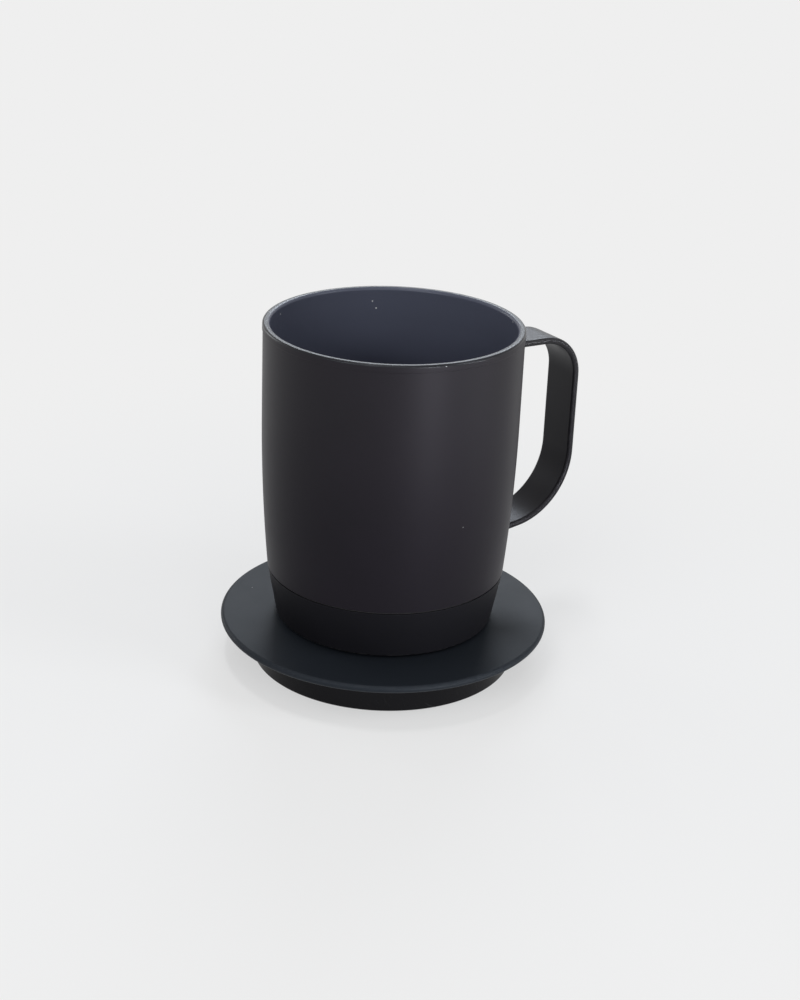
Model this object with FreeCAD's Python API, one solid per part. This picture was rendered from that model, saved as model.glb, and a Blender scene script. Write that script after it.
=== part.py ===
import FreeCAD, Part
import math
import os

# Self-heating mug on its charging coaster, in millimetres.
# Frame: the origin is on the mug's axis at the surface that the coaster stands on, +Z is up and
# the handle points along +X.

V = FreeCAD.Vector
UP = V(0, 0, 1)

# General clearances
FIT = 0.15                  # slack between pieces that are put together and stay put
SLIP = 0.06                 # radial running clearance of a pin or a button stem
THREAD = 0.02               # slack between a screw and its tapped hole
CONTACT_GAP = 0.10          # between a charging pin and its ring, or a pressed button and its switch

# Coaster: the disc and the drum under it
disc_radius = 55.0
disc_thick = 2.5
disc_edge_round = 1.2
drum_radius = 44.1
drum_height = 12.4
drum_wall = 2.0
drum_lift = 0.4             # the drum's edge stands this far above the table
recess_slack = 1.0          # between the recess's wall and the mug's foot ring
recess_depth = 1.0
spigot_height = 2.0         # ring under the disc that centres the drum
spigot_thick = 1.6
pad_thick = 0.8
cover_thick = 1.6
ledge_thick = 1.2
ledge_width = 1.8
coaster_boss_radius = 3.2
coaster_boss_inset = 6.1    # from the drum's inner wall to a boss's axis
coaster_screw_radius = 1.3
coaster_screw_depth = 7.0
coaster_head_radius = 2.4
coaster_head_height = 1.0

# Coaster: the charger board and its power inlet
charger_board_lift = 2.6    # from the cover's inner face to the board
charger_board_thick = 1.2
charger_board_width = 36.0
charger_board_front = -24.0
charger_board_back = 1.6    # from the drum's outer wall to the board
charger_post_radius = 2.3
charger_post_inset = 3.0    # from the board's long edges and its front edge
charger_back_inset = 12.0   # from the board's back edge, which leaves room for the inlet
charger_screw_radius = 0.8
charger_head_radius = 1.5
charger_head_height = 0.9
socket_width = 8.94
socket_height = 3.16
socket_length = 7.3
socket_wall = 0.3
socket_clear = 0.3          # round the inlet where the disc's ring passes it
tongue_width = 6.7
tongue_thick = 0.7
tongue_length = 5.0

# Charging pins
pin_circle_inner = 11.5     # distance of each pin from the axis
pin_circle_outer = 18.5
pin_radius = 1.0
pin_collar_radius = 1.2
pin_collar_height = 1.4
pin_collar_drop = 4.2       # from the pin's tip to its collar
pin_tip_round = 0.8
barrel_wall = 0.35
barrel_floor = 0.7
barrel_seat = 0.6           # how far the barrel goes up into the disc
spring_wire = 0.26
spring_turns = 5

# Mug: the outside
rim_height = 101.4          # from the coaster's top to the lip
wall_radius = 41.85
straight_from = 70.0        # above this height over the coaster the wall is a plain cylinder
flank_arc_radius = 587.0    # below it, the wall is an arc of this radius, tangent to the cylinder
shell_wall = 0.8
seam_height = 17.7          # from the coaster's top to the hairline seam
seam_gap = 0.4
base_clear = 1.0            # from the coaster's top to the base band's lower edge
base_draw = 5.45            # how much narrower the base's lower edge is than the wall
base_edge_round = 0.8

# Mug: the drinking lip and the inside
lip_proud = 0.15            # the lip stands out this much from the wall
lip_height = 2.4
lip_thick = 2.5
mouth_straight = 12.0
lip_outer_round = 0.9
lip_inner_round = 0.8
liner_wall = 0.8
liner_taper = 1.9           # how much narrower the liner is at its floor than at its mouth
liner_corner = 8.0

# Handle: a bent strap
handle_stand = 30.15        # from the wall to the strap's outer face
handle_width = 15.0
handle_thick = 2.3
handle_drop = 10.9          # from the lip down to the strap's top face, at the wall
handle_slope = 1.66         # degrees that the top arm falls outwards
handle_corner = 15.2
handle_belly = 24.7
handle_belly_rise = 29.6    # centre of the large lower bend, over the seam
handle_belly_sweep = 83.0
handle_edge_round = 1.0

# Mug: base band and underside
base_wall = 1.8
base_ledge_thick = 1.4
base_rim = 2.9              # from the base's lower edge in to the bottom plate
base_ledge_width = 5.2
base_spigot_height = 5.5
base_spigot_thick = 1.4
gasket_recess = 0.45
plate_thick = 2.6
foot_inset = 0.5            # from the plate's edge to the foot ring
foot_width = 4.1
foot_groove = 0.8
foot_round = 0.6
ring_thick = 1.0
ring_width = 3.0
tail_radius = 0.6
tail_turn_inner = 60.0
tail_turn_outer = 120.0

# Mug: power button
button_radius = 5.5
button_recess = 0.3         # from the underside up to the button's face
button_flange_radius = 6.8
button_flange_height = 0.7
button_float = 0.2
button_travel = 0.6
button_edge_round = 0.4
button_nib_radius = 1.5
button_nib_height = 0.2
switch_side = 6.0
switch_height = 1.1
plunger_radius = 1.6
plunger_height = 0.2
boot_top_radius = 6.7
boot_bottom_radius = 5.6
boot_wall = 0.5

# Mug: main board
board_slack = 0.4           # between the board's edge and the posts
board_thick = 1.2
standoff_radius = 2.2
standoff_inset = 3.6        # from the board's edge to a standoff's axis
standoff_turn = 30.0
board_screw_radius = 0.9
board_head_radius = 1.7
board_head_height = 1.0
led_side = 1.6
led_height = 0.8
light_turn = 90.0
light_radius = 1.0
light_flange_thick = 1.0
light_gap = 0.3

# Mug: cells, tray and the screws that hold the base
stack_turn = 45.0
cell_radius = 9.15
cell_end_room = 3.0         # from each end of a cell to the post beyond it
cell_nub_radius = 3.0
cell_nub_height = 0.8
cell_nub_root = 1.0         # how deep the nub sits in the can
cell_edge_round = 0.6
cell_gap = 0.4
cell_seat = 0.15
link_thick = 0.2
link_width = 5.0
tray_gap = 1.9              # from the board to the tray's floor
tray_floor = 1.2
tray_rim = 0.3              # how far the tray and its lid reach past the posts
cradle_height = 4.4
cradle_thick = 2.4
cradle_place = 14.0
post_radius = 3.0
post_inset = 2.5            # from the plate's edge to a post's axis
base_screw_radius = 1.25
base_screw_slack = 0.12
base_head_radius = 1.9
base_head_height = 1.0
head_sink = 0.1
lid_thick = 1.2
mount_ring_thick = 1.4
mount_ring_reach = 2.7      # from a screw's axis in to the mount ring's inner edge

# Mug: heating
heater_inset = 1.2          # from the liner's flat floor to the film's edge
heater_thick = 0.3
spreader_thick = 1.5
insulation_thick = 3.0
insulation_slack = 0.5      # between the insulation disc and the mount ring
sleeve_thick = 0.6
sleeve_foot = 5.0           # from the liner's floor up to the sleeve
sleeve_head = 16.0          # from the lip down to the sleeve
lead_radius = 0.6
lead_room = 1.1             # between a cell and what passes beside it
lead_pitch = 2.5
sensor_radius = 1.6
sensor_height = 2.3
sensor_wire_radius = 0.35
sensor_wire_pitch = 1.6

# Radii and places that follow from the driving dimensions
lip_radius = wall_radius + lip_proud
mouth_radius = lip_radius - lip_thick
liner_floor_radius = mouth_radius - liner_taper
heater_radius = liner_floor_radius - liner_corner - heater_inset
handle_reach = wall_radius + handle_stand
base_bottom_radius = wall_radius - base_draw
plate_radius = base_bottom_radius - base_rim
foot_outer = plate_radius - foot_inset
foot_inner = foot_outer - foot_width
recess_radius = foot_outer + recess_slack
post_circle = plate_radius - post_inset
base_ledge_inner = plate_radius - base_ledge_width
mount_ring_inner = post_circle - mount_ring_reach
insulation_radius = mount_ring_inner - insulation_slack
tray_radius = post_circle + post_radius + tray_rim
board_radius = post_circle - post_radius - board_slack
light_flange_radius = tray_gap - led_height / 2 - FIT
standoff_circle = board_radius - standoff_inset
cell_length = 2 * (post_circle - post_radius - cell_end_room)
cell_side = 2 * cell_radius + cell_gap / 2
lead_y = cell_side + lead_room + lead_radius
lead_x = -math.sqrt((board_radius - 2 * lead_radius) ** 2 - lead_y ** 2)
sensor_place = cell_side + lead_room + sensor_radius
drum_inner = drum_radius - drum_wall
coaster_boss_circle = drum_inner - coaster_boss_inset

# Heights over the table, from the driving dimensions
cover_z = pad_thick
cover_top = cover_z + cover_thick
ledge_top = cover_top + ledge_thick
disc_z = drum_lift + drum_height
coaster_z = disc_z + disc_thick
recess_z = coaster_z - recess_depth
base_z = coaster_z + base_clear
seam_z = coaster_z + seam_height
rim_z = coaster_z + rim_height
straight_z = coaster_z + straight_from
plate_top = base_z + plate_thick
groove_z = base_z + foot_groove
ledge_bottom = plate_top
post_z = ledge_bottom + base_ledge_thick
button_stack = button_float + button_flange_height + button_nib_height + button_travel
switch_stack = plunger_height + switch_height
board_z = plate_top + button_stack + CONTACT_GAP + switch_stack
board_top = board_z + board_thick
tray_z = board_top + tray_gap
tray_top = tray_z + tray_floor
cell_z = tray_top + cell_seat + cell_radius
lid_z = cell_z + cell_radius + cell_seat
lid_top = lid_z + lid_thick
spreader_z = lid_top + insulation_thick
heater_z = spreader_z + spreader_thick
liner_bottom = heater_z + heater_thick
floor_z = liner_bottom + liner_wall
button_z = base_z + button_recess
flange_z = plate_top + button_float
flange_top = flange_z + button_flange_height
socket_z = cover_top + charger_board_lift + charger_board_thick
socket_mid = socket_z + socket_height / 2


# Shares of a small screw's own sizes
HEAD_RIM = 0.25             # of the head's height, its straight rim
TIP_FLAT = 0.35             # of the shank's radius, its flat tip
DRIVE_WIDTH = 0.5           # of the head's radius, its six-sided socket
DRIVE_DEPTH = 0.6           # of the head's height


# Small shape helpers

def tube(outer, inner, low, high):
    """Plain ring with a square section."""
    solid = Part.makeCylinder(outer, high - low, V(0, 0, low))
    if inner > 0:
        solid = solid.cut(Part.makeCylinder(inner, high - low, V(0, 0, low)))
    return solid


def rod(radius, low, high, x=0.0, y=0.0):
    """Upright cylinder at (x, y)."""
    return Part.makeCylinder(radius, high - low, V(x, y, low))


def block(x0, x1, y0, y1, low, high):
    """Box between two corners."""
    return Part.makeBox(x1 - x0, y1 - y0, high - low, V(x0, y0, low))


def lathe(edges):
    """Turn a closed outline, drawn in the XZ plane, about the Z axis."""
    return Part.Face(Part.Wire(edges)).revolve(V(0, 0, 0), UP, 360)


def corner_path(points):
    """Closed outline of (r, z) or (r, z, round) corners, as lines and tangent arcs."""
    count = len(points)
    starts, ends, edges = [], [], []
    for i, point in enumerate(points):
        here = V(point[0], 0, point[1])
        before = V(points[i - 1][0], 0, points[i - 1][1])
        after = V(points[(i + 1) % count][0], 0, points[(i + 1) % count][1])
        if len(point) == 2:
            starts.append(here)
            ends.append(here)
            continue
        into = (before - here).normalize()
        out = (after - here).normalize()
        half = into.getAngle(out) / 2
        reach = point[2] / math.tan(half)
        start = here + into * reach
        end = here + out * reach
        middle = here + (into + out).normalize() * (point[2] / math.sin(half) - point[2])
        starts.append(start)
        ends.append(end)
        edges.append((i, Part.Arc(start, middle, end).toShape()))
    arcs = dict(edges)
    path = []
    for i in range(count):
        if i in arcs:
            path.append(arcs[i])
        nxt = (i + 1) % count
        if ends[i].distanceToPoint(starts[nxt]) > 1e-6:
            path.append(Part.LineSegment(ends[i], starts[nxt]).toShape())
    return path


def turned(points):
    """Solid of revolution from corner points."""
    return lathe(corner_path(points))


def around(shape, angle):
    """Copy turned about the mug's axis."""
    copy = shape.copy()
    copy.rotate(V(0, 0, 0), UP, angle)
    return copy


def spots(circle, first, count=4):
    """Places evenly spaced on a circle."""
    angles = [math.radians(first + 360.0 * i / count) for i in range(count)]
    return [(circle * math.cos(a), circle * math.sin(a)) for a in angles]


def united(shapes):
    """One solid from shapes that touch or overlap."""
    result = shapes[0]
    for shape in shapes[1:]:
        result = result.fuse(shape)
    return result.removeSplitter()


def cut_all(shape, tools):
    """Shape with every tool cut away."""
    for tool in tools:
        shape = shape.cut(tool)
    return shape


def group(shapes):
    """Identical pieces in one node, each its own solid."""
    return Part.makeCompound(shapes)


def flat_screw(x, y, head_z, head_radius, head_height, radius, tip_z):
    """Countersunk screw whose head looks up or down, with a socket in the head."""
    up = 1.0 if tip_z < head_z else -1.0
    reach = abs(head_z - tip_z)
    points = [(0, 0), (head_radius, 0), (head_radius, -HEAD_RIM * head_height),
              (radius, -head_height), (radius, -reach + radius), (TIP_FLAT * radius, -reach),
              (0, -reach)]
    if up < 0:
        points = [(r, -z) for r, z in points]
    screw = turned([(r, head_z + z) for r, z in points])
    corners = spots(DRIVE_WIDTH * head_radius, 0, 6)
    outline = [V(a, b, head_z) for a, b in corners + corners[:1]]
    socket = Part.Face(Part.makePolygon(outline))
    screw = screw.cut(socket.extrude(V(0, 0, -up * DRIVE_DEPTH * head_height)))
    screw.translate(V(x, y, 0))
    return screw


# Mug wall: straight above, one long tangent arc below

def flank_radius(height, inset=0.0):
    """Radius of the outer wall, less inset, at a height over the table."""
    if height >= straight_z:
        return wall_radius - inset
    drop = straight_z - height
    arc = flank_arc_radius - inset
    return wall_radius - flank_arc_radius + math.sqrt(arc * arc - drop * drop)


def flank_edges(low, high, inset=0.0):
    """Edges of the wall's outline from low to high."""
    bottom = V(flank_radius(low, inset), 0, low)
    middle_z = (low + straight_z) / 2
    middle = V(flank_radius(middle_z, inset), 0, middle_z)
    top = V(wall_radius - inset, 0, straight_z)
    end = V(wall_radius - inset, 0, high)
    return [Part.Arc(bottom, middle, top).toShape(), Part.LineSegment(top, end).toShape()]


def joined(edges, corners):
    """Close an open run of edges through corner points."""
    end = edges[-1].Vertexes[-1].Point
    start = edges[0].Vertexes[0].Point
    points = [end] + corners + [start]
    return edges + [Part.LineSegment(a, b).toShape() for a, b in zip(points, points[1:])]


def wall_solid(inset, low, high):
    """Everything inside the mug's wall, less inset."""
    return lathe(joined(flank_edges(low, high, inset), [V(0, 0, high), V(0, 0, low)]))


def outer_shell():
    """Coated steel outer wall, from the seam up to the lip."""
    low = seam_z + seam_gap / 2
    high = rim_z - lip_height
    shell = wall_solid(0.0, low, high).cut(wall_solid(shell_wall, low, high))
    return shell


def inner_liner():
    """Cup with a rounded floor, a straight mouth and the lip that closes the wall's top."""
    lip_under = rim_z - lip_height
    mouth_foot = rim_z - mouth_straight
    return turned([
        (0, floor_z), (liner_floor_radius, floor_z, liner_corner), (mouth_radius, mouth_foot),
        (mouth_radius, rim_z, lip_inner_round), (lip_radius, rim_z, lip_outer_round),
        (lip_radius, lip_under), (mouth_radius + liner_wall, lip_under),
        (mouth_radius + liner_wall, mouth_foot),
        (liner_floor_radius + liner_wall, liner_bottom, liner_corner + liner_wall),
        (0, liner_bottom)])


def strap_edges(depth):
    """Outline of the strap's outer face, or the face that lies depth inside it, wall to wall."""
    slope = math.radians(handle_slope)
    sweep = math.radians(handle_belly_sweep)
    root = flank_radius(seam_z) - 2 * handle_thick
    normal = V(math.sin(slope), 0, math.cos(slope))
    corner = V(handle_reach - handle_corner, 0, 0)
    top_z = rim_z - handle_drop
    corner.z = top_z - (corner.x - wall_radius) * math.tan(slope) - handle_corner / math.cos(slope)
    small = handle_corner - depth
    belly = V(handle_reach - handle_belly, 0, seam_z + handle_belly_rise)
    large = handle_belly - depth
    a = corner + normal * small
    start = V(root, 0, a.z + (a.x - root) * math.tan(slope))
    b = corner + V(small, 0, 0)
    half = (math.pi / 2 - slope) / 2
    ab = corner + V(small * math.cos(half), 0, small * math.sin(half))
    c = belly + V(large, 0, 0)
    cd = belly + V(large * math.cos(sweep / 2), 0, -large * math.sin(sweep / 2))
    d = belly + V(large * math.cos(sweep), 0, -large * math.sin(sweep))
    end = V(root, 0, d.z - (d.x - root) / math.tan(sweep))
    return [Part.LineSegment(start, a).toShape(), Part.Arc(a, ab, b).toShape(),
            Part.LineSegment(b, c).toShape(), Part.Arc(c, cd, d).toShape(),
            Part.LineSegment(d, end).toShape()]


def handle():
    """Bent strap with rounded edges, whose ends follow the wall they are welded to."""
    outer = strap_edges(0.0)
    inner = strap_edges(handle_thick)
    first = Part.LineSegment(inner[0].Vertexes[0].Point, outer[0].Vertexes[0].Point).toShape()
    last = Part.LineSegment(outer[-1].Vertexes[-1].Point, inner[-1].Vertexes[-1].Point).toShape()
    face = Part.Face(Part.Wire(Part.__sortEdges__(outer + inner + [first, last])))
    strap = face.extrude(V(0, handle_width, 0))
    strap.translate(V(0, -handle_width / 2, 0))
    side = handle_width / 2 - 0.01
    root = flank_radius(seam_z) - handle_thick
    long_edges = [e for e in strap.Edges if abs(e.CenterOfMass.y) > side and e.BoundBox.XMax > root]
    strap = strap.makeFillet(handle_edge_round, long_edges)
    return strap.cut(wall_solid(0.0, seam_z, rim_z))


# Mug base

def base_outer_radius(height):
    """Radius of the base band, a plain cone from its lower edge to the seam."""
    share = (height - base_z) / (seam_z - base_z)
    return base_bottom_radius + share * (flank_radius(seam_z) - base_bottom_radius)


def base_shell():
    """Base band with a ledge over the bottom plate and a spigot inside the outer wall."""
    shoulder = seam_z - seam_gap / 2
    spigot = flank_radius(seam_z, shell_wall) - FIT
    low_inner = base_outer_radius(post_z) - base_wall
    top_inner = spigot - base_spigot_thick
    shell = turned([
        (plate_radius + FIT, base_z), (base_bottom_radius, base_z, base_edge_round),
        (base_outer_radius(shoulder), shoulder), (spigot, shoulder),
        (spigot, seam_z + base_spigot_height), (top_inner, seam_z + base_spigot_height),
        (top_inner, shoulder - base_wall), (low_inner, post_z), (base_ledge_inner, post_z),
        (base_ledge_inner, ledge_bottom), (plate_radius + FIT, ledge_bottom)])
    holes = [rod(base_screw_radius + base_screw_slack, ledge_bottom, post_z, x, y)
             for x, y in spots(post_circle, stack_turn)]
    light_z = board_top + led_height / 2
    window = Part.makeCylinder(light_radius + SLIP, wall_radius, V(0, 0, light_z), V(1, 0, 0))
    return cut_all(shell, holes + [around(window, light_turn)])


def seam_gasket():
    """Ring that fills the hairline seam, a little below the surface."""
    spigot = flank_radius(seam_z, shell_wall) - FIT
    outer = flank_radius(seam_z) - gasket_recess
    return tube(outer, spigot, seam_z - seam_gap / 2, seam_z + seam_gap / 2)


def tail_spots(circle, turn):
    """Two solder tails on a contact ring."""
    return spots(circle, turn, 2)


def bottom_plate():
    """Underside plate with grooves for the contacts and the foot ring, and board standoffs."""
    plate = turned([(0, base_z), (plate_radius, base_z), (plate_radius, plate_top), (0, plate_top)])
    stands = [rod(standoff_radius, plate_top, board_z, x, y)
              for x, y in spots(standoff_circle, standoff_turn)]
    plate = united([plate] + stands)
    half = ring_width / 2
    tools = [tube(c + half, c - half, base_z, base_z + ring_thick)
             for c in (pin_circle_inner, pin_circle_outer)]
    tools.append(tube(foot_outer, foot_inner, base_z, groove_z))
    tools.append(rod(button_radius + FIT, base_z, plate_top))
    for circle, turn in ((pin_circle_inner, tail_turn_inner), (pin_circle_outer, tail_turn_outer)):
        tools += [rod(tail_radius + SLIP, base_z, plate_top, x, y) for x, y in tail_spots(circle, turn)]
    for x, y in spots(post_circle, stack_turn):
        tools.append(rod(base_head_radius + FIT, base_z, groove_z + head_sink + base_head_height, x, y))
        tools.append(rod(base_screw_radius + base_screw_slack, base_z, plate_top, x, y))
    for x, y in spots(standoff_circle, standoff_turn):
        tools.append(rod(board_screw_radius + THREAD, plate_top, board_z, x, y))
    return cut_all(plate, tools)


def foot_ring():
    """Soft ring that stands in the coaster's recess."""
    return turned([(foot_inner, recess_z, foot_round), (foot_outer, recess_z, foot_round),
                   (foot_outer, groove_z), (foot_inner, groove_z)])


def contact_ring(circle, turn):
    """Flush ring with two tails up to the main board."""
    half = ring_width / 2
    ring = tube(circle + half, circle - half, base_z, base_z + ring_thick)
    tails = [rod(tail_radius, base_z, board_z, x, y) for x, y in tail_spots(circle, turn)]
    return united([ring] + tails)


def power_button():
    """Press button with a flange that keeps it in the plate."""
    return turned([
        (0, button_z), (button_radius, button_z, button_edge_round), (button_radius, flange_z),
        (button_flange_radius, flange_z), (button_flange_radius, flange_top),
        (button_nib_radius, flange_top), (button_nib_radius, flange_top + button_nib_height),
        (0, flange_top + button_nib_height)])


def button_boot():
    """Thin soft cone between the button's flange and the main board."""
    return turned([
        (boot_bottom_radius, flange_top), (boot_bottom_radius + boot_wall, flange_top),
        (boot_top_radius + boot_wall, board_z), (boot_top_radius, board_z)])


def power_switch():
    """Tact switch under the main board."""
    side = switch_side / 2
    low = board_z - switch_height
    body = block(-side, side, -side, side, low, board_z)
    return united([body, rod(plunger_radius, low - plunger_height, low)])


def main_board():
    """Round board with holes for its screws."""
    holes = [rod(board_screw_radius + FIT, board_z, board_top, x, y)
             for x, y in spots(standoff_circle, standoff_turn)]
    return cut_all(tube(board_radius, 0, board_z, board_top), holes)


def main_board_chips():
    """Charger, controller and power parts on both faces of the board."""
    top = [(-6, -6, 7.0, 7.0, 0.9), (6, -9, 5.0, 5.0, 0.9), (7, 5, 6.0, 5.0, 1.2),
           (-8, 6, 4.0, 5.0, 1.5), (0, 14, 6.0, 3.5, 1.1), (-16, -2, 3.0, 6.0, 1.2)]
    chips = [block(x - w / 2, x + w / 2, y - d / 2, y + d / 2, board_top, board_top + h)
             for x, y, w, d, h in top]
    return group(chips)


def main_board_screws():
    """Four small screws through the board into the plate's standoffs."""
    head_z = board_top + board_head_height
    return group([flat_screw(x, y, head_z, board_head_radius, board_head_height,
                             board_screw_radius, plate_top + THREAD)
                  for x, y in spots(standoff_circle, standoff_turn)])


def status_led():
    """Light on the board's edge."""
    led = block(board_radius - led_side, board_radius, -led_side / 2, led_side / 2,
                board_top, board_top + led_height)
    return around(led, light_turn)


def light_pipe():
    """Clear rod from the light to the outside of the base band."""
    middle = board_top + led_height / 2
    start = board_radius + light_gap
    end = base_outer_radius(middle)
    seat = end - base_wall - light_flange_thick - 2 * light_gap
    pipe = Part.makeCylinder(light_radius, end - start, V(start, 0, middle), V(1, 0, 0))
    flange = Part.makeCylinder(light_flange_radius, light_flange_thick, V(seat, 0, middle), V(1, 0, 0))
    return around(united([pipe, flange]), light_turn)


# Cells and tray, drawn with the cells along X and then turned into place

def cell_offsets():
    """Distance of each cell's axis from the middle."""
    offset = cell_radius + cell_gap / 2
    return (-offset, offset)


def cell(side):
    """Round cell with its button end, lying down."""
    half = cell_length / 2
    can = Part.makeCylinder(cell_radius, cell_length - cell_nub_height, V(-half, 0, 0), V(1, 0, 0))
    ends = [e for e in can.Edges if abs(e.Length - 2 * math.pi * cell_radius) < 0.01]
    can = can.makeFillet(cell_edge_round, ends)
    nub_length = cell_nub_height + cell_nub_root
    nub = Part.makeCylinder(cell_nub_radius, nub_length, V(half - nub_length, 0, 0), V(1, 0, 0))
    whole = united([can, nub])
    if side > 0:
        whole.rotate(V(0, 0, 0), UP, 180)
    whole.translate(V(0, cell_offsets()[side], cell_z))
    return around(whole, stack_turn)


def cell_links():
    """Strip that joins the cells at one end, and two tabs down to the board at the other."""
    half = cell_length / 2
    low, high = cell_offsets()
    wide = link_width / 2
    strips = [block(half, half + link_thick, low - wide, high + wide, cell_z - wide, cell_z + wide)]
    for y in (low, high):
        strips.append(block(-half - link_thick, -half, y - wide, y + wide, board_top, cell_z + wide))
    return group([around(s, stack_turn) for s in strips])


def lead_spots():
    """Places of the two heater leads."""
    return [(lead_x, lead_y), (lead_x + lead_pitch, lead_y)]


def sensor_spots():
    """Places of the temperature sensor's two wires."""
    return [(-sensor_wire_pitch / 2, sensor_place), (sensor_wire_pitch / 2, sensor_place)]


def lead_holes(low, high):
    """Holes that the leads and the sensor's wires pass through."""
    holes = [rod(lead_radius + FIT, low, high, x, y) for x, y in lead_spots()]
    return holes + [rod(sensor_radius + FIT, low, high, 0, sensor_place)]


def battery_tray():
    """Tray with cradles for the cells and four posts for the long screws."""
    floor = tube(tray_radius, 0, tray_z, tray_top)
    posts = [rod(post_radius, post_z, lid_z, x, y) for x, y in spots(post_circle, 0)]
    low, high = cell_offsets()
    cradles = []
    for x in (-cradle_place, cradle_place):
        cradles.append(block(x - cradle_thick / 2, x + cradle_thick / 2, low - cell_radius,
                             high + cell_radius, tray_top, tray_top + cradle_height))
    tray = united([floor] + posts + cradles)
    half = cell_length / 2
    tools = [Part.makeCylinder(cell_radius + cell_seat, cell_length, V(-half, y, cell_z), V(1, 0, 0))
             for y in (low, high)]
    wide = link_width / 2 + FIT
    for y in (low, high):
        tools.append(block(-half - link_thick - FIT, -half + FIT, y - wide, y + wide, tray_z, tray_top))
    tools += lead_holes(tray_z, tray_top)
    tools += [rod(base_screw_radius + base_screw_slack, post_z, lid_z, x, y)
              for x, y in spots(post_circle, 0)]
    return around(cut_all(tray, tools), stack_turn)


def tray_lid():
    """Flat lid that the posts press against the mount ring."""
    holes = [rod(base_screw_radius + base_screw_slack, lid_z, lid_top, x, y)
             for x, y in spots(post_circle, 0)]
    lid = cut_all(tube(tray_radius, 0, lid_z, lid_top), holes + lead_holes(lid_z, lid_top))
    return around(lid, stack_turn)


def mount_ring():
    """Steel ring welded inside the outer wall, tapped for the long screws."""
    top = lid_top + mount_ring_thick
    ring = wall_solid(shell_wall, lid_top, rim_z).common(
        tube(wall_radius, mount_ring_inner, lid_top, top))
    holes = [rod(base_screw_radius + THREAD, lid_top, top, x, y)
             for x, y in spots(post_circle, stack_turn)]
    return cut_all(ring, holes)


def base_screws():
    """Four long screws from under the foot ring up into the mount ring."""
    head_z = groove_z + head_sink
    return group([flat_screw(x, y, head_z, base_head_radius, base_head_height, base_screw_radius,
                             lid_top + mount_ring_thick + base_screw_radius)
                  for x, y in spots(post_circle, stack_turn)])


# Heating

def heater_film():
    """Thin film heater on the liner's floor."""
    hole = rod(sensor_radius + FIT, heater_z, liner_bottom, 0, sensor_place)
    return around(tube(heater_radius, 0, heater_z, liner_bottom).cut(hole), stack_turn)


def spreader_plate():
    """Metal plate that presses the film flat and spreads the heat."""
    plate = tube(heater_radius, 0, spreader_z, heater_z)
    return around(cut_all(plate, lead_holes(spreader_z, heater_z)), stack_turn)


def insulation_disc():
    """Foam disc between the heater and the cells' lid."""
    disc = tube(insulation_radius, 0, lid_top, spreader_z)
    return around(cut_all(disc, lead_holes(lid_top, spreader_z)), stack_turn)


def liner_outer_radius(height):
    """Outer radius of the liner's cone at a height."""
    foot = rim_z - mouth_straight
    share = (height - liner_bottom) / (foot - liner_bottom)
    low = liner_floor_radius + liner_wall
    return low + share * (mouth_radius + liner_wall - low)


def insulation_sleeve():
    """Thin sleeve round the liner's wall."""
    low = floor_z + sleeve_foot + liner_corner
    high = rim_z - sleeve_head
    inner_low = liner_outer_radius(low)
    inner_high = liner_outer_radius(high)
    return turned([(inner_low, low), (inner_low + sleeve_thick, low),
                   (inner_high + sleeve_thick, high), (inner_high, high)])


def heater_leads():
    """Two leads from the main board up to the heater film."""
    return group([around(rod(lead_radius, board_top, heater_z, x, y), stack_turn)
                  for x, y in lead_spots()])


def temperature_sensor():
    """Sensor bead against the liner's floor, with its wires down to the board."""
    low = liner_bottom - sensor_height
    bead = rod(sensor_radius, low, liner_bottom, 0, sensor_place)
    wires = [rod(sensor_wire_radius, board_top, low, x, y) for x, y in sensor_spots()]
    return around(united([bead] + wires), stack_turn)


# Coaster

def pin_places():
    """Place of each charging pin, one on each side of the axis."""
    return {"inner": (-pin_circle_inner, 0.0), "outer": (pin_circle_outer, 0.0)}


def coaster_screw_spots():
    """Places of the coaster's four screws."""
    return spots(coaster_boss_circle, 45)


def pin_tip_z():
    """Height of a pin's tip when the mug stands on it."""
    return base_z - CONTACT_GAP


def barrel_top():
    """Height of a barrel's upper end, inside the disc."""
    return disc_z + barrel_seat


def coaster_top():
    """Disc with the mug's recess, and bosses and a centring ring under it."""
    disc = turned([
        (0, disc_z), (disc_radius, disc_z, disc_edge_round),
        (disc_radius, coaster_z, disc_edge_round), (recess_radius, coaster_z),
        (recess_radius, recess_z), (0, recess_z)])
    outer = drum_inner - FIT
    spigot = tube(outer, outer - spigot_thick, disc_z - spigot_height, disc_z)
    bosses = [rod(coaster_boss_radius, cover_top, disc_z, x, y) for x, y in coaster_screw_spots()]
    whole = united([disc, spigot] + bosses)
    barrel = pin_collar_radius + SLIP + barrel_wall + FIT
    tools = [rod(coaster_screw_radius + THREAD, cover_top, disc_z - spigot_height, x, y)
             for x, y in coaster_screw_spots()]
    for x, y in pin_places().values():
        tools.append(rod(barrel, disc_z, barrel_top(), x, y))
        tools.append(rod(pin_radius + SLIP, disc_z, recess_z, x, y))
    tools.append(socket_mouth(-socket_clear, drum_inner - socket_length, socket_length))
    return cut_all(whole, tools)


def socket_mouth(inset, start, length):
    """Rounded flat tube shape of the inlet, along +Y."""
    wide = socket_width - 2 * inset
    high = socket_height - 2 * inset
    round_end = high / 2
    middle = block(-wide / 2 + round_end, wide / 2 - round_end, start, start + length,
                   socket_mid - high / 2, socket_mid + high / 2)
    ends = [Part.makeCylinder(round_end, length, V(side * (wide / 2 - round_end), start, socket_mid),
                              V(0, 1, 0)) for side in (-1, 1)]
    return united([middle] + ends)


def socket_end():
    """How far the inlet reaches towards the drum's wall."""
    return drum_radius - drum_wall / 2


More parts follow.
